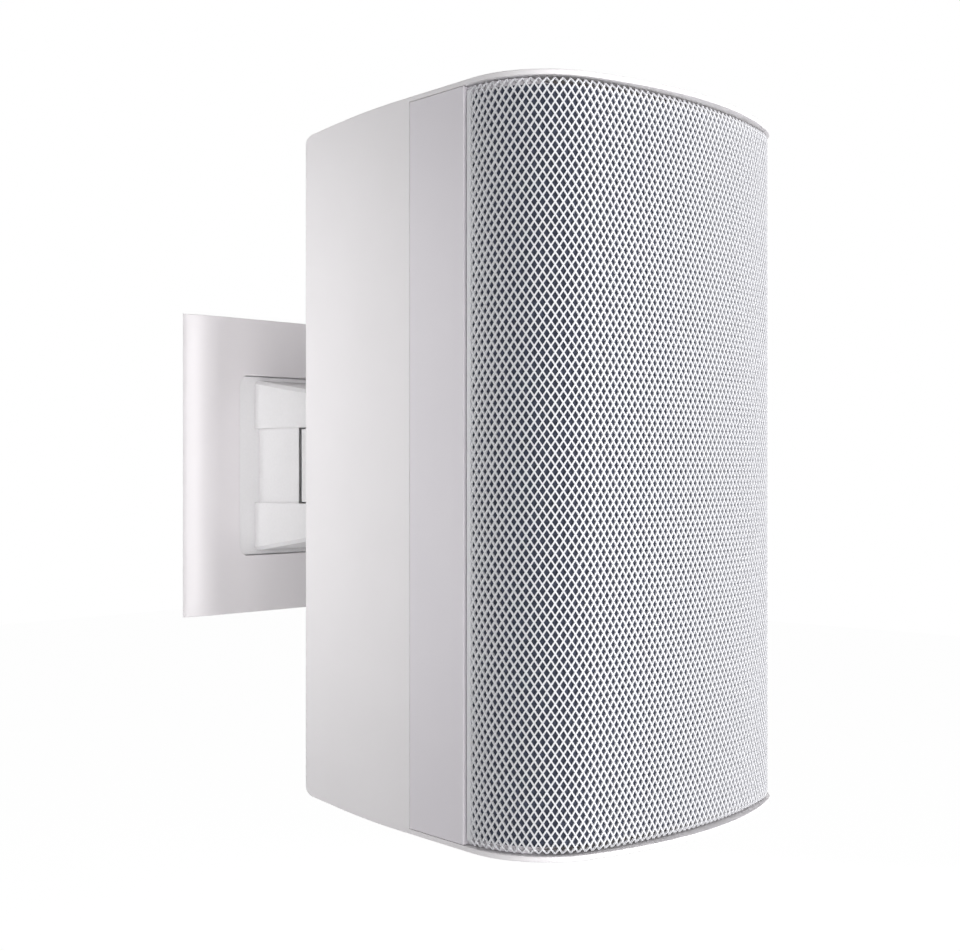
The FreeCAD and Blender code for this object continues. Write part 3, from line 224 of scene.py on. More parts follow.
class StudioSettings(bpy.types.PropertyGroup):
    """Light levels and the floor. Powers are in watts."""

    floor_drop: bpy.props.FloatProperty(
        name="Floor drop", description="Floor below the wall bracket's middle", default=0.80, unit="LENGTH")
    fill: bpy.props.FloatProperty(name="Fill", description="Strength of the white surround", default=0.03)
    key: bpy.props.FloatProperty(name="Key", description="Power of the front light", default=26.0)
    right: bpy.props.FloatProperty(name="Right", description="Power of the light at the right", default=10.0)
    left: bpy.props.FloatProperty(name="Left", description="Power of the light at the left", default=16.0)
    side: bpy.props.FloatProperty(
        name="Side", description="Power of the light past the left side", default=0.6)
    level: bpy.props.FloatProperty(
        name="Level", description="Power of the low and of the high light", default=6.0)
    around: bpy.props.FloatProperty(
        name="Around", description="Power of the lights at the far side and above", default=8.0)
    behind: bpy.props.FloatProperty(
        name="Behind", description="Power of the light behind the mount", default=1.0)
    near: bpy.props.FloatProperty(
        name="Near", description="Power of the small light by the mount", default=0.36)


def linear(code):
    """sRGB hex to linear RGBA: c/12.92 below 0.04045, else ((c + 0.055)/1.055)^2.4."""
    c = np.array([int(code[k:k + 2], 16) for k in (1, 3, 5)]) / 255.0
    c = np.where(c <= 0.04045, c / 12.92, ((c + 0.055) / 1.055) ** 2.4)
    return (*[float(x) for x in c], 1.0)


def add(tree, kind, settings=None, links=None):
    """Adds one node, sets its sockets and attributes, and links its inputs."""
    node = tree.nodes.new(kind)
    for key, value in (settings or {}).items():
        if key in node.inputs:
            node.inputs[key].default_value = value
        else:
            setattr(node, key, value)
    for key, source in (links or {}).items():
        tree.links.new(source, node.inputs[key])
    return node


def new_material(name):
    """An empty node material; returns it with its tree."""
    material = bpy.data.materials.new(name)
    material.use_nodes = True
    material.node_tree.nodes.clear()
    return material, material.node_tree


def moulded_plastic(name, light, deep, grain, rough, bump):
    """Injection-moulded plastic. The tool's spark-eroded grain breaks the gloss into a soft sheen, and the
    tone drifts a little over some tens of millimetres, as thick and thin walls give.

    The real grain is about 0.2 mm wide, too fine for the render, so `grain` mm is as coarse as it needs to
    show."""
    material, tree = new_material(name)
    place = add(tree, "ShaderNodeTexCoord").outputs["Object"]
    drift = add(tree, "ShaderNodeTexNoise", {"Scale": DRIFT_SCALE, "Detail": 2.0}, {"Vector": place})
    tone = add(tree, "ShaderNodeMix", {"data_type": "RGBA", "A": linear(deep), "B": linear(light)},
               {"Factor": drift.outputs["Fac"]})
    pits = add(tree, "ShaderNodeTexNoise", {"Scale": 1 / (grain * MM), "Detail": 3.0}, {"Vector": place})
    gloss = add(tree, "ShaderNodeMapRange", {"To Min": rough - 0.05, "To Max": rough + 0.07},
                {"Value": pits.outputs["Fac"]})
    relief = add(tree, "ShaderNodeBump", {"Strength": bump, "Distance": 0.2 * MM},
                 {"Height": pits.outputs["Fac"]})
    shader = add(tree, "ShaderNodeBsdfPrincipled", {"IOR": PLASTIC_IOR}, {
        "Base Color": tone.outputs["Result"], "Roughness": gloss.outputs["Result"],
        "Normal": relief.outputs["Normal"]})
    add(tree, "ShaderNodeOutputMaterial", links={"Surface": shader.outputs["BSDF"]})
    return material


def coated_metal(name, light, deep, peel, rough, bump):
    """Baked coat on metal: a soft orange peel `peel` mm wide, glossier on its crowns and paler there as a
    painted highlight, with painted shade in the troughs between.
    """
    material, tree = new_material(name)
    place = add(tree, "ShaderNodeTexCoord").outputs["Object"]
    peel_and_painted_light = add(tree, "ShaderNodeTexNoise", {"Scale": 1 / (peel * MM), "Detail": 1.5}, {"Vector": place})
    # Tone follows the peel's height: a painted highlight on the crowns and painted shade in the troughs.
    tone = add(tree, "ShaderNodeMix", {"data_type": "RGBA", "A": linear(deep), "B": linear(light)},
               {"Factor": peel_and_painted_light.outputs["Fac"]})
    gloss = add(tree, "ShaderNodeMapRange", {"To Min": rough + 0.06, "To Max": rough - 0.04},
                {"Value": peel_and_painted_light.outputs["Fac"]})
    relief = add(tree, "ShaderNodeBump", {"Strength": bump, "Distance": 0.3 * MM},
                 {"Height": peel_and_painted_light.outputs["Fac"]})
    shader = add(tree, "ShaderNodeBsdfPrincipled", {"IOR": COAT_IOR}, {
        "Base Color": tone.outputs["Result"], "Roughness": gloss.outputs["Result"],
        "Normal": relief.outputs["Normal"]})
    add(tree, "ShaderNodeOutputMaterial", links={"Surface": shader.outputs["BSDF"]})
    return material


def bare_metal(name, light, deep, marks_apart, rough):
    """Plated, rolled or turned metal: tool marks some tenths of a millimetre apart along Y streak the tone
    and the gloss. Real marks are finer still, so `marks_apart` mm is as coarse as they need to show."""
    material, tree = new_material(name)
    place = add(tree, "ShaderNodeTexCoord").outputs["Object"]
    stretched = add(tree, "ShaderNodeMapping", {"Scale": (1.0, STREAK, 1.0)}, {"Vector": place})
    marks = add(tree, "ShaderNodeTexNoise", {"Scale": 1 / (STREAK * marks_apart * MM), "Detail": 4.0},
                {"Vector": stretched.outputs["Vector"]})
    tone = add(tree, "ShaderNodeMix", {"data_type": "RGBA", "A": linear(deep), "B": linear(light)},
               {"Factor": marks.outputs["Fac"]})
    gloss = add(tree, "ShaderNodeMapRange", {"To Min": rough - 0.08, "To Max": rough + 0.12},
                {"Value": marks.outputs["Fac"]})
    shader = add(tree, "ShaderNodeBsdfPrincipled", {"Metallic": 1.0}, {
        "Base Color": tone.outputs["Result"], "Roughness": gloss.outputs["Result"]})
    add(tree, "ShaderNodeOutputMaterial", links={"Surface": shader.outputs["BSDF"]})
    return material


def cellular(name, light, deep, cell, rough):
    """Open-cell foam, cloth or sintered grains: cells `cell` mm wide between paler walls or threads, each
    painted dark towards its sunken middle as shade in the hollow.
    """
    material, tree = new_material(name)
    place = add(tree, "ShaderNodeTexCoord").outputs["Object"]
    cells_and_painted_shade = add(tree, "ShaderNodeTexVoronoi", {"feature": "F1", "Scale": 1 / (cell * MM)}, {"Vector": place})
    # Tone follows the distance from each cell's middle: painted shade in the sunken hollows, paler on the
    # walls between.
    tone = add(tree, "ShaderNodeMix", {"data_type": "RGBA", "A": linear(deep), "B": linear(light)},
               {"Factor": cells_and_painted_shade.outputs["Distance"]})
    relief = add(tree, "ShaderNodeBump", {"Strength": 0.5, "Distance": 0.4 * MM},
                 {"Height": cells_and_painted_shade.outputs["Distance"]})
    shader = add(tree, "ShaderNodeBsdfPrincipled", {"Roughness": rough, "IOR": FIBRE_IOR}, {
        "Base Color": tone.outputs["Result"], "Normal": relief.outputs["Normal"]})
    add(tree, "ShaderNodeOutputMaterial", links={"Surface": shader.outputs["BSDF"]})
    return material


def wound_wire(name, light, deep, wire):
    """Enamelled copper wound in turns `wire` mm apart along Y, each turn's crest a bright line of painted
    highlight, with painted shade in the grooves between.
    """
    material, tree = new_material(name)
    place = add(tree, "ShaderNodeTexCoord").outputs["Object"]
    turns_and_painted_light = add(tree, "ShaderNodeTexWave",
                {"bands_direction": "Y", "Scale": WAVE_PERIOD / (wire * MM), "Distortion": 0.6},
                {"Vector": place})
    # Tone follows the turns' height: painted highlight on each crest, painted shade in each groove.
    tone = add(tree, "ShaderNodeMix", {"data_type": "RGBA", "A": linear(deep), "B": linear(light)},
               {"Factor": turns_and_painted_light.outputs["Fac"]})
    relief = add(tree, "ShaderNodeBump", {"Strength": 0.6, "Distance": 0.4 * MM},
                 {"Height": turns_and_painted_light.outputs["Fac"]})
    shader = add(tree, "ShaderNodeBsdfPrincipled", {"Metallic": 1.0, "Roughness": 0.32}, {
        "Base Color": tone.outputs["Result"], "Normal": relief.outputs["Normal"]})
    add(tree, "ShaderNodeOutputMaterial", links={"Surface": shader.outputs["BSDF"]})
    return material


def dress(material, *nodes):
    """Gives CAD nodes this material in place of their own."""
    for name in nodes:
        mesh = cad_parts[name].data
        mesh.materials.clear()
        mesh.materials.append(material)


def mesh_object(name, points, faces, material):
    """A mesh object at the origin from an array of points and a list of face index arrays."""
    mesh = bpy.data.meshes.new(name)
    mesh.from_pydata(points.tolist(), [], [face for group in faces for face in group.tolist()])
    mesh.materials.append(material)
    piece = bpy.data.objects.new(name, mesh)
    bpy.context.scene.collection.objects.link(piece)
    return piece


def merge_points(points, faces):
    """Joins points closer than a tenth of a micrometre and leaves out those that no face uses.

    A quad with two neighbouring corners joined becomes a triangle, and a face with less left is dropped."""
    keys = np.round(points / MERGE_STEP).astype(np.int64)
    _, first, joined = np.unique(keys, axis=0, return_index=True, return_inverse=True)
    kept = []
    for group in faces:
        corners = joined.ravel()[group]
        same = corners == np.roll(corners, -1, axis=1)
        kept.append(corners[~same.any(axis=1)])
        if corners.shape[1] == 4:
            once = same.sum(axis=1) == 1
            kept += [np.delete(corners[once & same[:, k]], k, axis=1) for k in range(4)]
    used, order = np.unique(np.concatenate([group.ravel() for group in kept]), return_inverse=True)
    ends = np.cumsum([group.size for group in kept])[:-1]
    kept = [part.reshape(group.shape) for part, group in zip(np.split(order.ravel(), ends), kept)]
    return points[first[used]], kept


def grille_outline(g):
    """Centre of the mesh's corner arc, the radii of corner and bow, and the angle at which they meet.

    The cabinet's corner arc, of radius C, touches its bow, of radius B: its centre lies x = W/2 - C out and
    v = B - sqrt((B - C)^2 - x^2) back. The mesh keeps that centre with a radius c, less by the side inset.
    Its own bow starts at the front inset and touches that arc: b = (x^2 + r^2 - c^2) / (2 (r - c)), where
    r = v - inset, and they meet at the angle whose sine is x / (b - c)."""
    corner_x = g.cabinet_width / 2 - g.corner_radius
    corner_v = g.bow_radius - math.sqrt((g.bow_radius - g.corner_radius) ** 2 - corner_x ** 2)
    corner = g.corner_radius - g.side_inset
    reach = corner_v - g.front_inset
    bow = (corner_x ** 2 + reach ** 2 - corner ** 2) / (2 * (reach - corner))
    return corner_x, corner_v, corner, bow, math.asin(corner_x / (bow - corner))


def flat_height(g):
    """Half the height of the mesh's upright part, up to where its edges turn in."""
    return g.half_height - g.thickness / 2 - g.roll


def grille_lengths(g):
    """Half the mesh's developed width, which is bow, corner and straight run, and half its height."""
    _, corner_v, corner, bow, meet = grille_outline(g)
    straight = (g.edge_depth - corner_v - corner * math.sin(g.side_taper)) / math.cos(g.side_taper)
    width = bow * meet + corner * (RIGHT_ANGLE + g.side_taper - meet) + straight
    return width, flat_height(g) + g.roll * RIGHT_ANGLE


def grille_surface(g, s, t):
    """Middle of the mesh sheet at distance s along its bowed outline and t up its developed height.

    The outline is an arc about the middle, an arc at each corner and a straight run at the side's taper.
    Near the top and bottom the sheet turns in on a quarter circle of radius roll: z = h + roll sin a, in by
    roll (1 - cos a), with a = (|t| - h) / roll. Returns points and normals."""
    corner_x, corner_v, corner, bow, meet = grille_outline(g)
    full = RIGHT_ANGLE + g.side_taper
    far = np.abs(s)
    bow_end = bow * meet
    corner_end = bow_end + corner * (full - meet)
    on_bow = far <= bow_end
    angle = np.where(on_bow, far / bow, np.minimum(meet + (far - bow_end) / corner, full))
    past = np.maximum(far - corner_end, 0.0)
    x = np.where(on_bow, bow * np.sin(angle),
                 corner_x + corner * np.sin(angle) - past * math.sin(g.side_taper))
    v = np.where(on_bow, g.front_inset + bow - bow * np.cos(angle),
                 corner_v - corner * np.cos(angle) + past * math.cos(g.side_taper))
    hand = np.where(s >= 0, 1.0, -1.0)
    out = np.stack([hand * np.sin(angle), -np.cos(angle), np.zeros_like(s)], axis=-1)
    flat = flat_height(g)
    bend = np.clip((np.abs(t) - flat) / g.roll, 0.0, RIGHT_ANGLE)
    z = np.sign(t) * (np.minimum(np.abs(t), flat) + g.roll * np.sin(bend))
    inwards = g.roll * (1 - np.cos(bend))
    points = np.stack([hand * x, g.front + v, z], axis=-1) - out * inwards[..., None]
    normals = out * np.cos(bend)[..., None]
    normals[..., 2] += np.sign(t) * np.sin(bend)
    return points, normals


def diamond_faces(columns, rows):
    """Faces of a flat diamond lattice on a grid of half steps, where cells with an even sum are openings.

    Each cell has four points: its left, right, top and bottom corner. A strand joins two neighbouring
    openings, a knot joins the four round an odd cell, and half openings lie along the edges. Returns quads,
    triangles, the walls as directed edges, and the points along the left and right edge."""
    index = np.arange(columns * rows * 4).reshape(columns, rows, 4)
    left, right, top, bottom = np.moveaxis(index, -1, 0)
    c, r = np.meshgrid(np.arange(columns), np.arange(rows), indexing="ij")
    even = (c + r) % 2 == 0
    rising = even[:-1, :-1]
    falling = even[:-1, 1:]
    knot = ~even[1:-1, 1:-1]
    quads = [
        [right[:-1, :-1][rising], bottom[1:, 1:][rising], left[1:, 1:][rising], top[:-1, :-1][rising]],
        [bottom[:-1, 1:][falling], left[1:, :-1][falling], top[1:, :-1][falling], right[:-1, 1:][falling]],
        [right[:-2, 1:-1][knot], top[1:-1, :-2][knot], left[2:, 1:-1][knot], bottom[1:-1, 2:][knot]],
    ]
    odd_r = np.arange(1, rows - 1, 2)
    odd_c = np.arange(1, columns - 1, 2)
    tris = [
        [top[0, odd_r - 1], left[1, odd_r], bottom[0, odd_r + 1]],
        [right[-2, odd_r], top[-1, odd_r - 1], bottom[-1, odd_r + 1]],
        [right[odd_c - 1, 0], left[odd_c + 1, 0], bottom[odd_c, 1]],
        [right[odd_c - 1, -1], top[odd_c, -2], left[odd_c + 1, -1]],
    ]
    upper = even & (r < rows - 1)
    lower = even & (r > 0)
    walls = [
        [right[upper], top[upper]],
        [top[upper], left[upper]],
        [left[lower], bottom[lower]],
        [bottom[lower], right[lower]],
        [right[odd_c - 1, -1], left[odd_c + 1, -1]],
        [left[odd_c + 1, 0], right[odd_c - 1, 0]],
    ]
    quads, tris, walls = (np.concatenate([np.stack(corners, axis=-1) for corners in kind])
                          for kind in (quads, tris, walls))
    even_r = np.arange(0, rows, 2)
    left_edge = np.stack([bottom[0, even_r], left[0, even_r], top[0, even_r]], axis=-1).ravel()
    right_edge = np.stack([bottom[-1, even_r], right[-1, even_r], top[-1, even_r]], axis=-1).ravel()
    return quads, tris, walls, left_edge, right_edge


def grille_sheet(g):
    """The whole mesh as a closed sheet: its points and its groups of faces.

    On a grid of half steps a across and b up, each opening's corners lie a share of a half step from its
    middle. share = 1 - (w / 2) / d leaves strands of width w, where d = ab / sqrt(a^2 + b^2) is the distance
    from that middle to the line between two knots. Corners past the grid's edge are held at the edge. A
    plain border joins the outer columns to the sides. The sheet's two faces lie half its thickness from its
    middle, along the normal, and walls join them."""
    half_width, half_up = grille_lengths(g)
    edge = half_width - g.border
    across = 2 * round(edge * 2 / g.pitch_across)
    upwards = 2 * round(half_up * 2 / g.pitch_up)
    step_s = 2 * edge / across
    step_t = 2 * half_up / upwards
    share = 1.0 - g.strand / 2 / (step_s * step_t / math.hypot(step_s, step_t))
    s, t = np.meshgrid(np.linspace(-edge, edge, across + 1), np.linspace(-half_up, half_up, upwards + 1),
                       indexing="ij")
    s = np.clip(s[..., None] + share * step_s * np.array([-1, 1, 0, 0]), -edge, edge).ravel()
    t = np.clip(t[..., None] + share * step_t * np.array([0, 0, 1, -1]), -half_up, half_up).ravel()
    quads, tris, walls, left, right = diamond_faces(across + 1, upwards + 1)
    rim_left = s.size + np.arange(left.size)
    rim_right = s.size + left.size + np.arange(right.size)
    s = np.concatenate([s, np.full(left.size, -half_width), np.full(right.size, half_width)])
    t = np.concatenate([t, t[left], t[right]])
    border_left = np.stack([rim_left[:-1], left[:-1], left[1:], rim_left[1:]], axis=-1)
    border_right = np.stack([right[:-1], rim_right[:-1], rim_right[1:], right[1:]], axis=-1)
    quads = np.concatenate([quads, border_left, border_right])
    sides = [np.stack([rim_left[:-1], rim_left[1:]], axis=-1),
             np.stack([rim_right[1:], rim_right[:-1]], axis=-1)]
    ends = np.array([[left[0], rim_left[0]], [rim_left[-1], left[-1]],
                     [rim_right[0], right[0]], [right[-1], rim_right[-1]]])
    walls = np.concatenate([walls] + sides + [ends])
    points, normals = grille_surface(g, s, t)
    both = np.concatenate([points + normals * g.thickness / 2, points - normals * g.thickness / 2])
    behind = s.size
    wall_faces = np.stack([walls[:, 0], walls[:, 1], walls[:, 1] + behind, walls[:, 0] + behind], axis=-1)
    return merge_points(both, [quads, tris, quads[:, ::-1] + behind, tris[:, ::-1] + behind, wall_faces])


def full_turn(quarter):
    """A quarter turn of x and z pairs from the x axis to the z axis, mirrored to a whole turn."""
    ahead, back = quarter[:-1], quarter[:0:-1]
    return np.concatenate([ahead, back * (-1, 1), -ahead, back * (1, -1)])


def opening_outline(c):
    """Rounded rectangle: a centre that runs up the side and then along the top, plus radius times the
    direction (cos a, sin a), with a from 0 to a right angle round the corner. Returns both."""
    side, arc, top = QUARTER_STEPS
    a = np.concatenate([np.zeros(side), np.linspace(0, RIGHT_ANGLE, arc + 1), np.full(top, RIGHT_ANGLE)])
    out = np.stack([np.cos(a), np.sin(a)], axis=-1)
    run_x, run_z = c.opening_width - c.opening_radius, c.opening_height - c.opening_radius
    x = np.concatenate([np.full(side + arc + 1, run_x), np.linspace(run_x, 0, top + 1)[1:]])
    z = np.concatenate([np.linspace(0, run_z, side + 1)[:-1], np.full(arc + 1 + top, run_z)])
    return full_turn(np.stack([x, z], axis=-1) + c.opening_radius * out), full_turn(out)


def edge_outline(half_x, half_z):
    """Rectangle with as many points a quarter as the opening: up the side, then along the top."""
    side, arc, top = QUARTER_STEPS
    side, top = side + arc // 2, top + arc // 2
    x = np.concatenate([np.full(side, half_x), np.linspace(half_x, 0, top + 1)])
    z = np.concatenate([np.linspace(0, half_z, side + 1)[:-1], np.full(top + 1, half_z)])
    return full_turn(np.stack([x, z], axis=-1))


def cover_face(c, x, inset):
    """Level of the cover's face at x, or of its inside at an inset: y = -t + b (1 - sqrt(1 - q^2)), a
    quarter ellipse over the rounded sides, where q goes from 0 to 1."""
    q = np.clip((np.abs(x) - c.half_width + c.round_width) / (c.round_width - inset), 0, 1)
    deep = c.thickness - c.off_wall - c.lip - inset
    return inset - c.thickness + deep * (1 - np.sqrt(1 - q ** 2))


def at_level(plan, y):
    """Outlines of x and z pairs with a level y added to each point."""
    return np.concatenate([plan, np.broadcast_to(y, plan.shape[:-1])[..., None]], axis=-1)


def cover_shell(c):
    """Wall cover as a closed grid: once round the opening, and once round the section of the wall.

    The section starts at the opening's rim, a quarter circle, crosses the face to the edge with steps that
    shorten as r (2 - r), goes down to the wall, back along the inside and down the opening's collar. The top
    and bottom rims roll over by rim (1 - sqrt(1 - e^2)), and the ends lean in by the draft."""
    hole, out = opening_outline(c)
    outer = edge_outline(c.half_width, c.half_height)
    inner = edge_outline(c.half_width - c.wall, c.half_height - c.wall)
    turn = np.linspace(0, RIGHT_ANGLE, RIM_POINTS)[:, None]
    plan = hole + c.rim * (1 - np.cos(turn))[..., None] * out
    rim = at_level(plan, c.rim * (1 - np.sin(turn)) - c.thickness)
    r = np.linspace(0, 1, FACE_POINTS)[1:, None, None]
    plan = hole + c.rim * out
    plan = plan + (outer - plan) * r * (2 - r)
    e = np.clip((np.abs(plan[..., 1]) - c.half_height + c.rim) / c.rim, 0, 1)
    front = at_level(plan, cover_face(c, plan[..., 0], 0.0) + c.rim * (1 - np.sqrt(1 - e ** 2)))
    feet = at_level(np.stack([outer, inner]), -c.off_wall)
    r = np.linspace(1, 0, INSIDE_POINTS)[:, None, None]
    plan = hole + c.wall * out
    plan = plan + (inner - plan) * r * (2 - r)
    back = at_level(plan, cover_face(c, plan[..., 0], c.wall))
    collar = at_level(np.stack([hole + c.wall * out, hole]), -c.collar_end)
    x, z, y = np.moveaxis(np.concatenate([rim, front, feet, back, collar]), -1, 0)
    start = c.opening_height + c.wall
    far = np.clip((np.abs(z) - start) / (c.half_height - start), 0, 1)
    z = z + np.sign(z) * far * c.draft * y / c.thickness
    k = np.arange(x.size).reshape(x.shape)
    ahead = np.roll(k, -1, axis=1)
    quads = np.stack([k, np.roll(k, -1, axis=0), np.roll(ahead, -1, axis=0), ahead], axis=-1).reshape(-1, 4)
    return np.stack([x, y, z], axis=-1).reshape(-1, 3), quads


class SPEAKER_OT_cabinet(bpy.types.Operator):
    """Finishes the cabinet, its strips and the foam behind the mesh"""

    bl_idname = "speaker.cabinet"
    bl_label = "Cabinet Finishes"

    def execute(self, context):
        c = context.scene.speaker_colours
        # Textured ABS: an even warm white with a broad, dull sheen.
        dress(moulded_plastic("ABS_textured_cabinet", c.cabinet, c.cabinet_deep, 0.9, 0.5, 0.12),
              "rear_cabinet")
        # Satin ABS: smoother than the cabinet beside it, and a little greyer as painted shade on the strip.
        dress(moulded_plastic("ABS_satin_strip", c.strip, c.strip_deep, 0.9, 0.46, 0.08), "front_baffle")
        # Reticulated foam: dull blue-grey cells that read as dark between the strands, each painted darker at
        # its middle as shade in its hollow.
        dress(cellular("Reticulated_foam_dark", c.foam, c.foam_painted_shade, 1.3, 0.95), "grille_foam")
        return {"FINISHED"}


class SPEAKER_OT_grille(bpy.types.Operator):
    """Builds the fine diamond mesh that stands for the coarse one"""

    bl_idname = "speaker.grille"
    bl_label = "Mesh Grille"

    def execute(self, context):
        c = context.scene.speaker_colours
        points, faces = grille_sheet(context.scene.speaker_grille)
        # Powder coat on expanded steel: a clean cool white, with a soft highlight along each strand, and a
        # painted highlight on the coat's crowns with painted shade in its troughs.
        paint = coated_metal("Powder_coated_steel_mesh", c.mesh, c.mesh_painted_shade, 1.6, 0.42, 0.05)
        piece = mesh_object("grille_mesh", points, faces, paint)
        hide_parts("grille")
        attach(piece, "speaker")
        return {"FINISHED"}


class SPEAKER_OT_cover(bpy.types.Operator):
    """Builds the wall cover with its rounded sides"""

    bl_idname = "speaker.cover"
    bl_label = "Wall Cover"

    def execute(self, context):
        c = context.scene.speaker_colours
        points, quads = cover_shell(context.scene.speaker_cover)
        # Satin ABS: a white whose rounded sides carry one soft band of light.
        plastic = moulded_plastic("ABS_satin_wall_cover", c.mount, c.mount_deep, 0.9, 0.42, 0.06)
        piece = mesh_object("wall_cover_shell", points, [quads], plastic)
        piece.data.shade_smooth()
        piece.data.set_sharp_from_angle(angle=SHARP_ANGLE)
        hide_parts("wall_cover")
        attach(piece, "wall_mount")
        return {"FINISHED"}


class SPEAKER_OT_mount(bpy.types.Operator):
    """Finishes the wall mount and its pivots"""

    bl_idname = "speaker.mount"
    bl_label = "Mount Finishes"

    def execute(self, context):
        c = context.scene.speaker_colours
        # Powder coat on die-cast zinc: the brightest white, faintly wavy, paler on the crowns as a painted
        # highlight and deeper in the troughs as painted shade.
        dress(coated_metal("Powder_coated_zinc_casting", c.casting, c.casting_painted_shade, 1.8, 0.4, 0.08),
              "wall_fork", "pan_knuckle", "speaker_bracket")
        # Zinc plate on steel: a pale blue-grey metal, finely streaked.
        dress(bare_metal("Zinc_plated_steel", "#C4C6C8", "#A6A8AC", 0.25, 0.32),
              "wall_bracket", "fork_bolts", "pan_bolt", "pan_nut", "tilt_bolt", "tilt_nut", "bracket_screws",
              "baffle_screws", "woofer_screws", "tweeter_screws", "crossover_screws", "transformer_screws",
              "panel_screws")
        # Black nylon: near black with a waxy sheen.
        dress(moulded_plastic("Nylon_washer", "#26262A", "#1E1E22", 0.6, 0.55, 0.1),
              "pan_washers", "tilt_washers")
        # Turned brass: warm yellow metal with fine turning marks.
        dress(bare_metal("Turned_brass", "#CFA85A", "#B88F43", 0.3, 0.3), "bracket_inserts")
        return {"FINISHED"}


class SPEAKER_OT_drivers(bpy.types.Operator):
    """Finishes the woofer, the tweeter and the ports"""

    bl_idname = "speaker.drivers"
    bl_label = "Driver Finishes"

    def execute(self, context):
        # Stove enamel on pressed steel: black, half gloss, softly wavy, with a painted highlight on the
        # crowns and painted shade in the troughs.
        dress(coated_metal("Black_stove_enamel", "#1B1B1E", "#121214", 2.0, 0.45, 0.1), "woofer_basket")
        # Passivated steel: mid-grey metal, dull where it was turned.
        dress(bare_metal("Passivated_motor_steel", "#9C9FA3", "#83868B", 0.4, 0.38),
              "woofer_top_plate", "woofer_back_plate", "tweeter_motor")
        # Sintered ferrite: a charcoal stone with a fine crumb, drawn coarser than it is so that it shows,
        # each pit of the crumb painted darker as shade.
        dress(cellular("Sintered_ferrite", "#34343A", "#232328", 0.8, 0.7), "woofer_magnet")
        # Moulded polypropylene: dark grey, with a broad sheen and a pebbled skin.
        dress(moulded_plastic("Polypropylene_cone", "#26272B", "#1C1D21", 1.2, 0.5, 0.25),
              "woofer_cone", "woofer_dust_cap")
        # Butyl rubber: a dull black.
        dress(moulded_plastic("Butyl_rubber", "#1D1D20", "#161618", 0.5, 0.62, 0.1),
              "woofer_surround", "woofer_gasket")
        # Resin-treated cotton: tan cloth with open threads, painted darker in the hollows between them as
        # shade.
        dress(cellular("Treated_cotton_spider", "#B08A4A", "#8A6830", 0.7, 0.85), "woofer_spider")
        # Fine copper wire under clear enamel: bright orange-brown turns, with a painted highlight on each
        # crest and painted shade in each groove.
        dress(wound_wire("Enamelled_copper_coil", "#C9793F", "#9A5526", 0.35), "voice_coil")
        # Black ABS: a satin black moulding.
        dress(moulded_plastic("Black_ABS", "#1F1F23", "#18181B", 0.8, 0.45, 0.12),
              "tweeter_waveguide", "port_tube_left", "port_tube_right", "tap_switch")
        # Silk under a soft coat: dark cloth with a dim sheen, the hollows of its weave painted darker as
        # shade.
        dress(cellular("Coated_silk_dome", "#2B2B30", "#1C1C20", 0.4, 0.6), "tweeter_dome")
        return {"FINISHED"}


class SPEAKER_OT_electrics(bpy.types.Operator):
    """Finishes the crossover, the transformer and the input panel"""

    bl_idname = "speaker.electrics"
    bl_label = "Electrical Finishes"

    def execute(self, context):
        # Solder mask on glass fibre: a glossy deep green.
        dress(moulded_plastic("Green_solder_mask", "#1F6B3C", "#175431", 3.0, 0.3, 0.1), "crossover_board")
        # Thick copper wire under clear enamel: bright orange-brown turns, with a painted highlight on each
        # crest and painted shade in each groove.
        dress(wound_wire("Enamelled_copper_winding", "#C77A42", "#94522A", 0.9),
              "crossover_coil_large", "crossover_coil_small", "transformer_winding")
        # Shrunk polyester film: a glossy brick red.
        dress(moulded_plastic("Polyester_film_sleeve", "#A32A22", "#8E231C", 2.0, 0.3, 0.1),
              "crossover_capacitor_large", "crossover_capacitor_small")
        # Cast cement: a chalky off-white.
        dress(moulded_plastic("Cement_resistor", "#E2DED2", "#CFCABC", 0.6, 0.8, 0.3), "crossover_resistor")
        # Varnished steel sheets: dark grey metal, streaked by the sheets' edges.
        dress(bare_metal("Varnished_lamination", "#6E7074", "#4C4E52", 0.5, 0.5), "transformer_core")
        # Black ABS with a moulded grain: a dull black tray.
        dress(moulded_plastic("Black_ABS_panel", "#232327", "#1B1B1F", 0.9, 0.5, 0.15), "input_panel")
        # Green nylon: a mid green with a satin sheen.
        dress(moulded_plastic("Green_terminal_nylon", "#2E7D4A", "#256A3E", 0.7, 0.45, 0.1), "terminal_block")
        # Phenolic: a hard, slightly glossier black.
        dress(moulded_plastic("Black_phenolic_knob", "#2A2A2E", "#1E1E22", 0.7, 0.4, 0.15), "tap_knob")
        return {"FINISHED"}


def area_light(name, place, aim, size, power):
    """A rectangular soft light at a place, turned to its aim."""
    lamp = bpy.data.lights.new(name, "AREA")
    lamp.shape = "RECTANGLE"
    lamp.size, lamp.size_y = size
    lamp.energy = power
    light = bpy.data.objects.new(name, lamp)
    light.location = place
    light.rotation_euler = (Vector(aim) - Vector(place)).to_track_quat("-Z", "Y").to_euler()
    bpy.context.scene.collection.objects.link(light)


def photo_camera():
    """The photo's level camera, with its lens worked out from the focal length in pixels."""
    view = bpy.data.cameras.new("photo_view")
    view.sensor_fit = "HORIZONTAL"
    view.sensor_width = SENSOR_WIDTH
    view.lens = FOCAL_PIXELS / PHOTO_WIDTH * SENSOR_WIDTH
    view.shift_y = CAMERA_SHIFT
    camera = bpy.data.objects.new("photo_view", view)
    camera.location = CAMERA_PLACE
    camera.rotation_euler = Vector(CAMERA_LINE).to_track_quat("-Z", "Y").to_euler()
    bpy.context.scene.collection.objects.link(camera)
    return camera


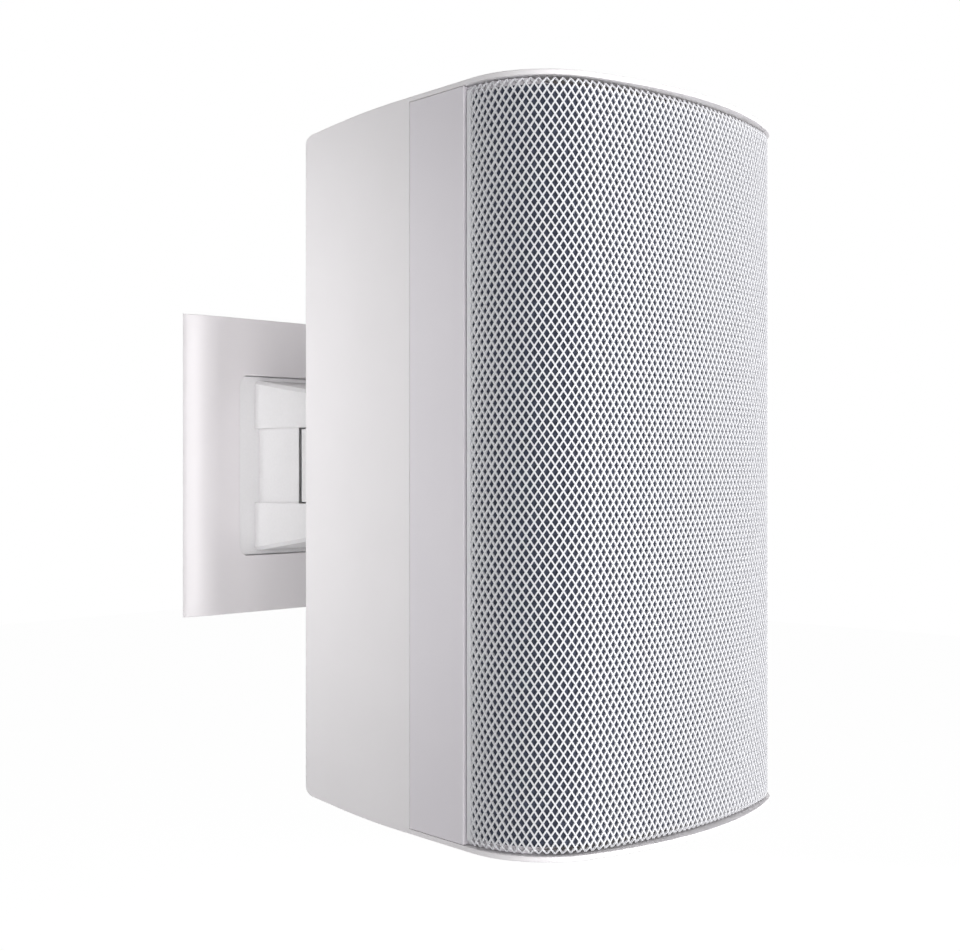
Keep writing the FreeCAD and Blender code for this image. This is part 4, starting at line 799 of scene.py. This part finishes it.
def seen_directly(tree):
    """A socket that is 1 for rays from the camera, a gloss or a clear body, and 0 for light that falls."""
    path = add(tree, "ShaderNodeLightPath")
    mirrored = add(tree, "ShaderNodeMath", {"operation": "MAXIMUM"},
                   {0: path.outputs["Is Camera Ray"], 1: path.outputs["Is Glossy Ray"]})
    seen = add(tree, "ShaderNodeMath", {"operation": "MAXIMUM"},
               {0: mirrored.outputs["Value"], 1: path.outputs["Is Transmission Ray"]})
    return seen.outputs["Value"]


def white_surround(fill):
    """A world that looks white and lights the object only by the fill."""
    world = bpy.data.worlds.new("white_surround")
    world.use_nodes = True
    tree = world.node_tree
    tree.nodes.clear()
    level = add(tree, "ShaderNodeMapRange", {"To Min": fill, "To Max": 1.0}, {"Value": seen_directly(tree)})
    back = add(tree, "ShaderNodeBackground", {"Color": (1, 1, 1, 1)}, {"Strength": level.outputs["Result"]})
    add(tree, "ShaderNodeOutputWorld", links={"Surface": back.outputs["Background"]})
    return world


def floor_sheet(height):
    """A wide level sheet, an even grid of x and y, near white to the camera but open to a faint shadow."""
    material, tree = new_material("White_paper_floor")
    share = add(tree, "ShaderNodeMapRange", {"To Max": FLOOR_WHITE_SHARE}, {"Value": seen_directly(tree)})
    paper = add(tree, "ShaderNodeBsdfDiffuse", {"Color": linear(FLOOR_PAPER)})
    white = add(tree, "ShaderNodeEmission", {"Strength": FLOOR_WHITE_STRENGTH})
    mixed = add(tree, "ShaderNodeMixShader", links={
        0: share.outputs["Result"], 1: paper.outputs["BSDF"], 2: white.outputs["Emission"]})
    add(tree, "ShaderNodeOutputMaterial", links={"Surface": mixed.outputs["Shader"]})
    run = np.linspace(-FLOOR_REACH, FLOOR_REACH, FLOOR_POINTS)
    x, y = np.meshgrid(run, run, indexing="ij")
    points = np.stack([x, y, np.full_like(x, height)], axis=-1).reshape(-1, 3)
    k = np.arange(x.size).reshape(x.shape)
    quads = np.stack([k[:-1, :-1], k[1:, :-1], k[1:, 1:], k[:-1, 1:]], axis=-1).reshape(-1, 4)
    return mesh_object("floor", points, [quads], material)


class SPEAKER_OT_studio(bpy.types.Operator):
    """Sets the camera, the soft lights, the white surround and the floor"""

    bl_idname = "speaker.studio"
    bl_label = "Studio"

    def execute(self, context):
        scene = context.scene
        settings = scene.speaker_studio
        scene.camera = photo_camera()
        for name, place, aim, size, power in SOFTBOXES:
            area_light(name, place, aim, size, getattr(settings, power))
        scene.world = white_surround(settings.fill)
        floor_sheet(-settings.floor_drop)
        scene.view_settings.view_transform = "Standard"
        return {"FINISHED"}


class SPEAKER_PT_looks(bpy.types.Panel):
    """Lists the settings and the steps that build the speaker's looks"""

    bl_idname = "SPEAKER_PT_looks"
    bl_label = "Speaker"
    bl_space_type = "VIEW_3D"
    bl_region_type = "UI"
    bl_category = "Speaker"

    def draw(self, context):
        for setting, group in GROUPS.items():
            for name in group.__annotations__:
                self.layout.prop(getattr(context.scene, setting), name)
        for step in STEPS:
            self.layout.operator(step.bl_idname)


GROUPS = {"speaker_grille": GrilleSizes, "speaker_cover": CoverSizes, "speaker_colours": FinishColours,
          "speaker_studio": StudioSettings}
STEPS = (SPEAKER_OT_cabinet, SPEAKER_OT_grille, SPEAKER_OT_cover, SPEAKER_OT_mount, SPEAKER_OT_drivers,
         SPEAKER_OT_electrics, SPEAKER_OT_studio)
CLASSES = (*GROUPS.values(), *STEPS, SPEAKER_PT_looks)


def register():
    """Adds the classes and hangs their settings on the scene."""
    for cls in CLASSES:
        bpy.utils.register_class(cls)
    for setting, group in GROUPS.items():
        setattr(bpy.types.Scene, setting, bpy.props.PointerProperty(type=group))


def unregister():
    """Takes the settings and the classes away again."""
    for setting in GROUPS:
        delattr(bpy.types.Scene, setting)
    for cls in reversed(CLASSES):
        bpy.utils.unregister_class(cls)


def main():
    """Runs the steps in order."""
    register()
    bpy.ops.speaker.cabinet()
    bpy.ops.speaker.grille()
    bpy.ops.speaker.cover()
    bpy.ops.speaker.mount()
    bpy.ops.speaker.drivers()
    bpy.ops.speaker.electrics()
    bpy.ops.speaker.studio()


if __name__ == "__main__":
    main()
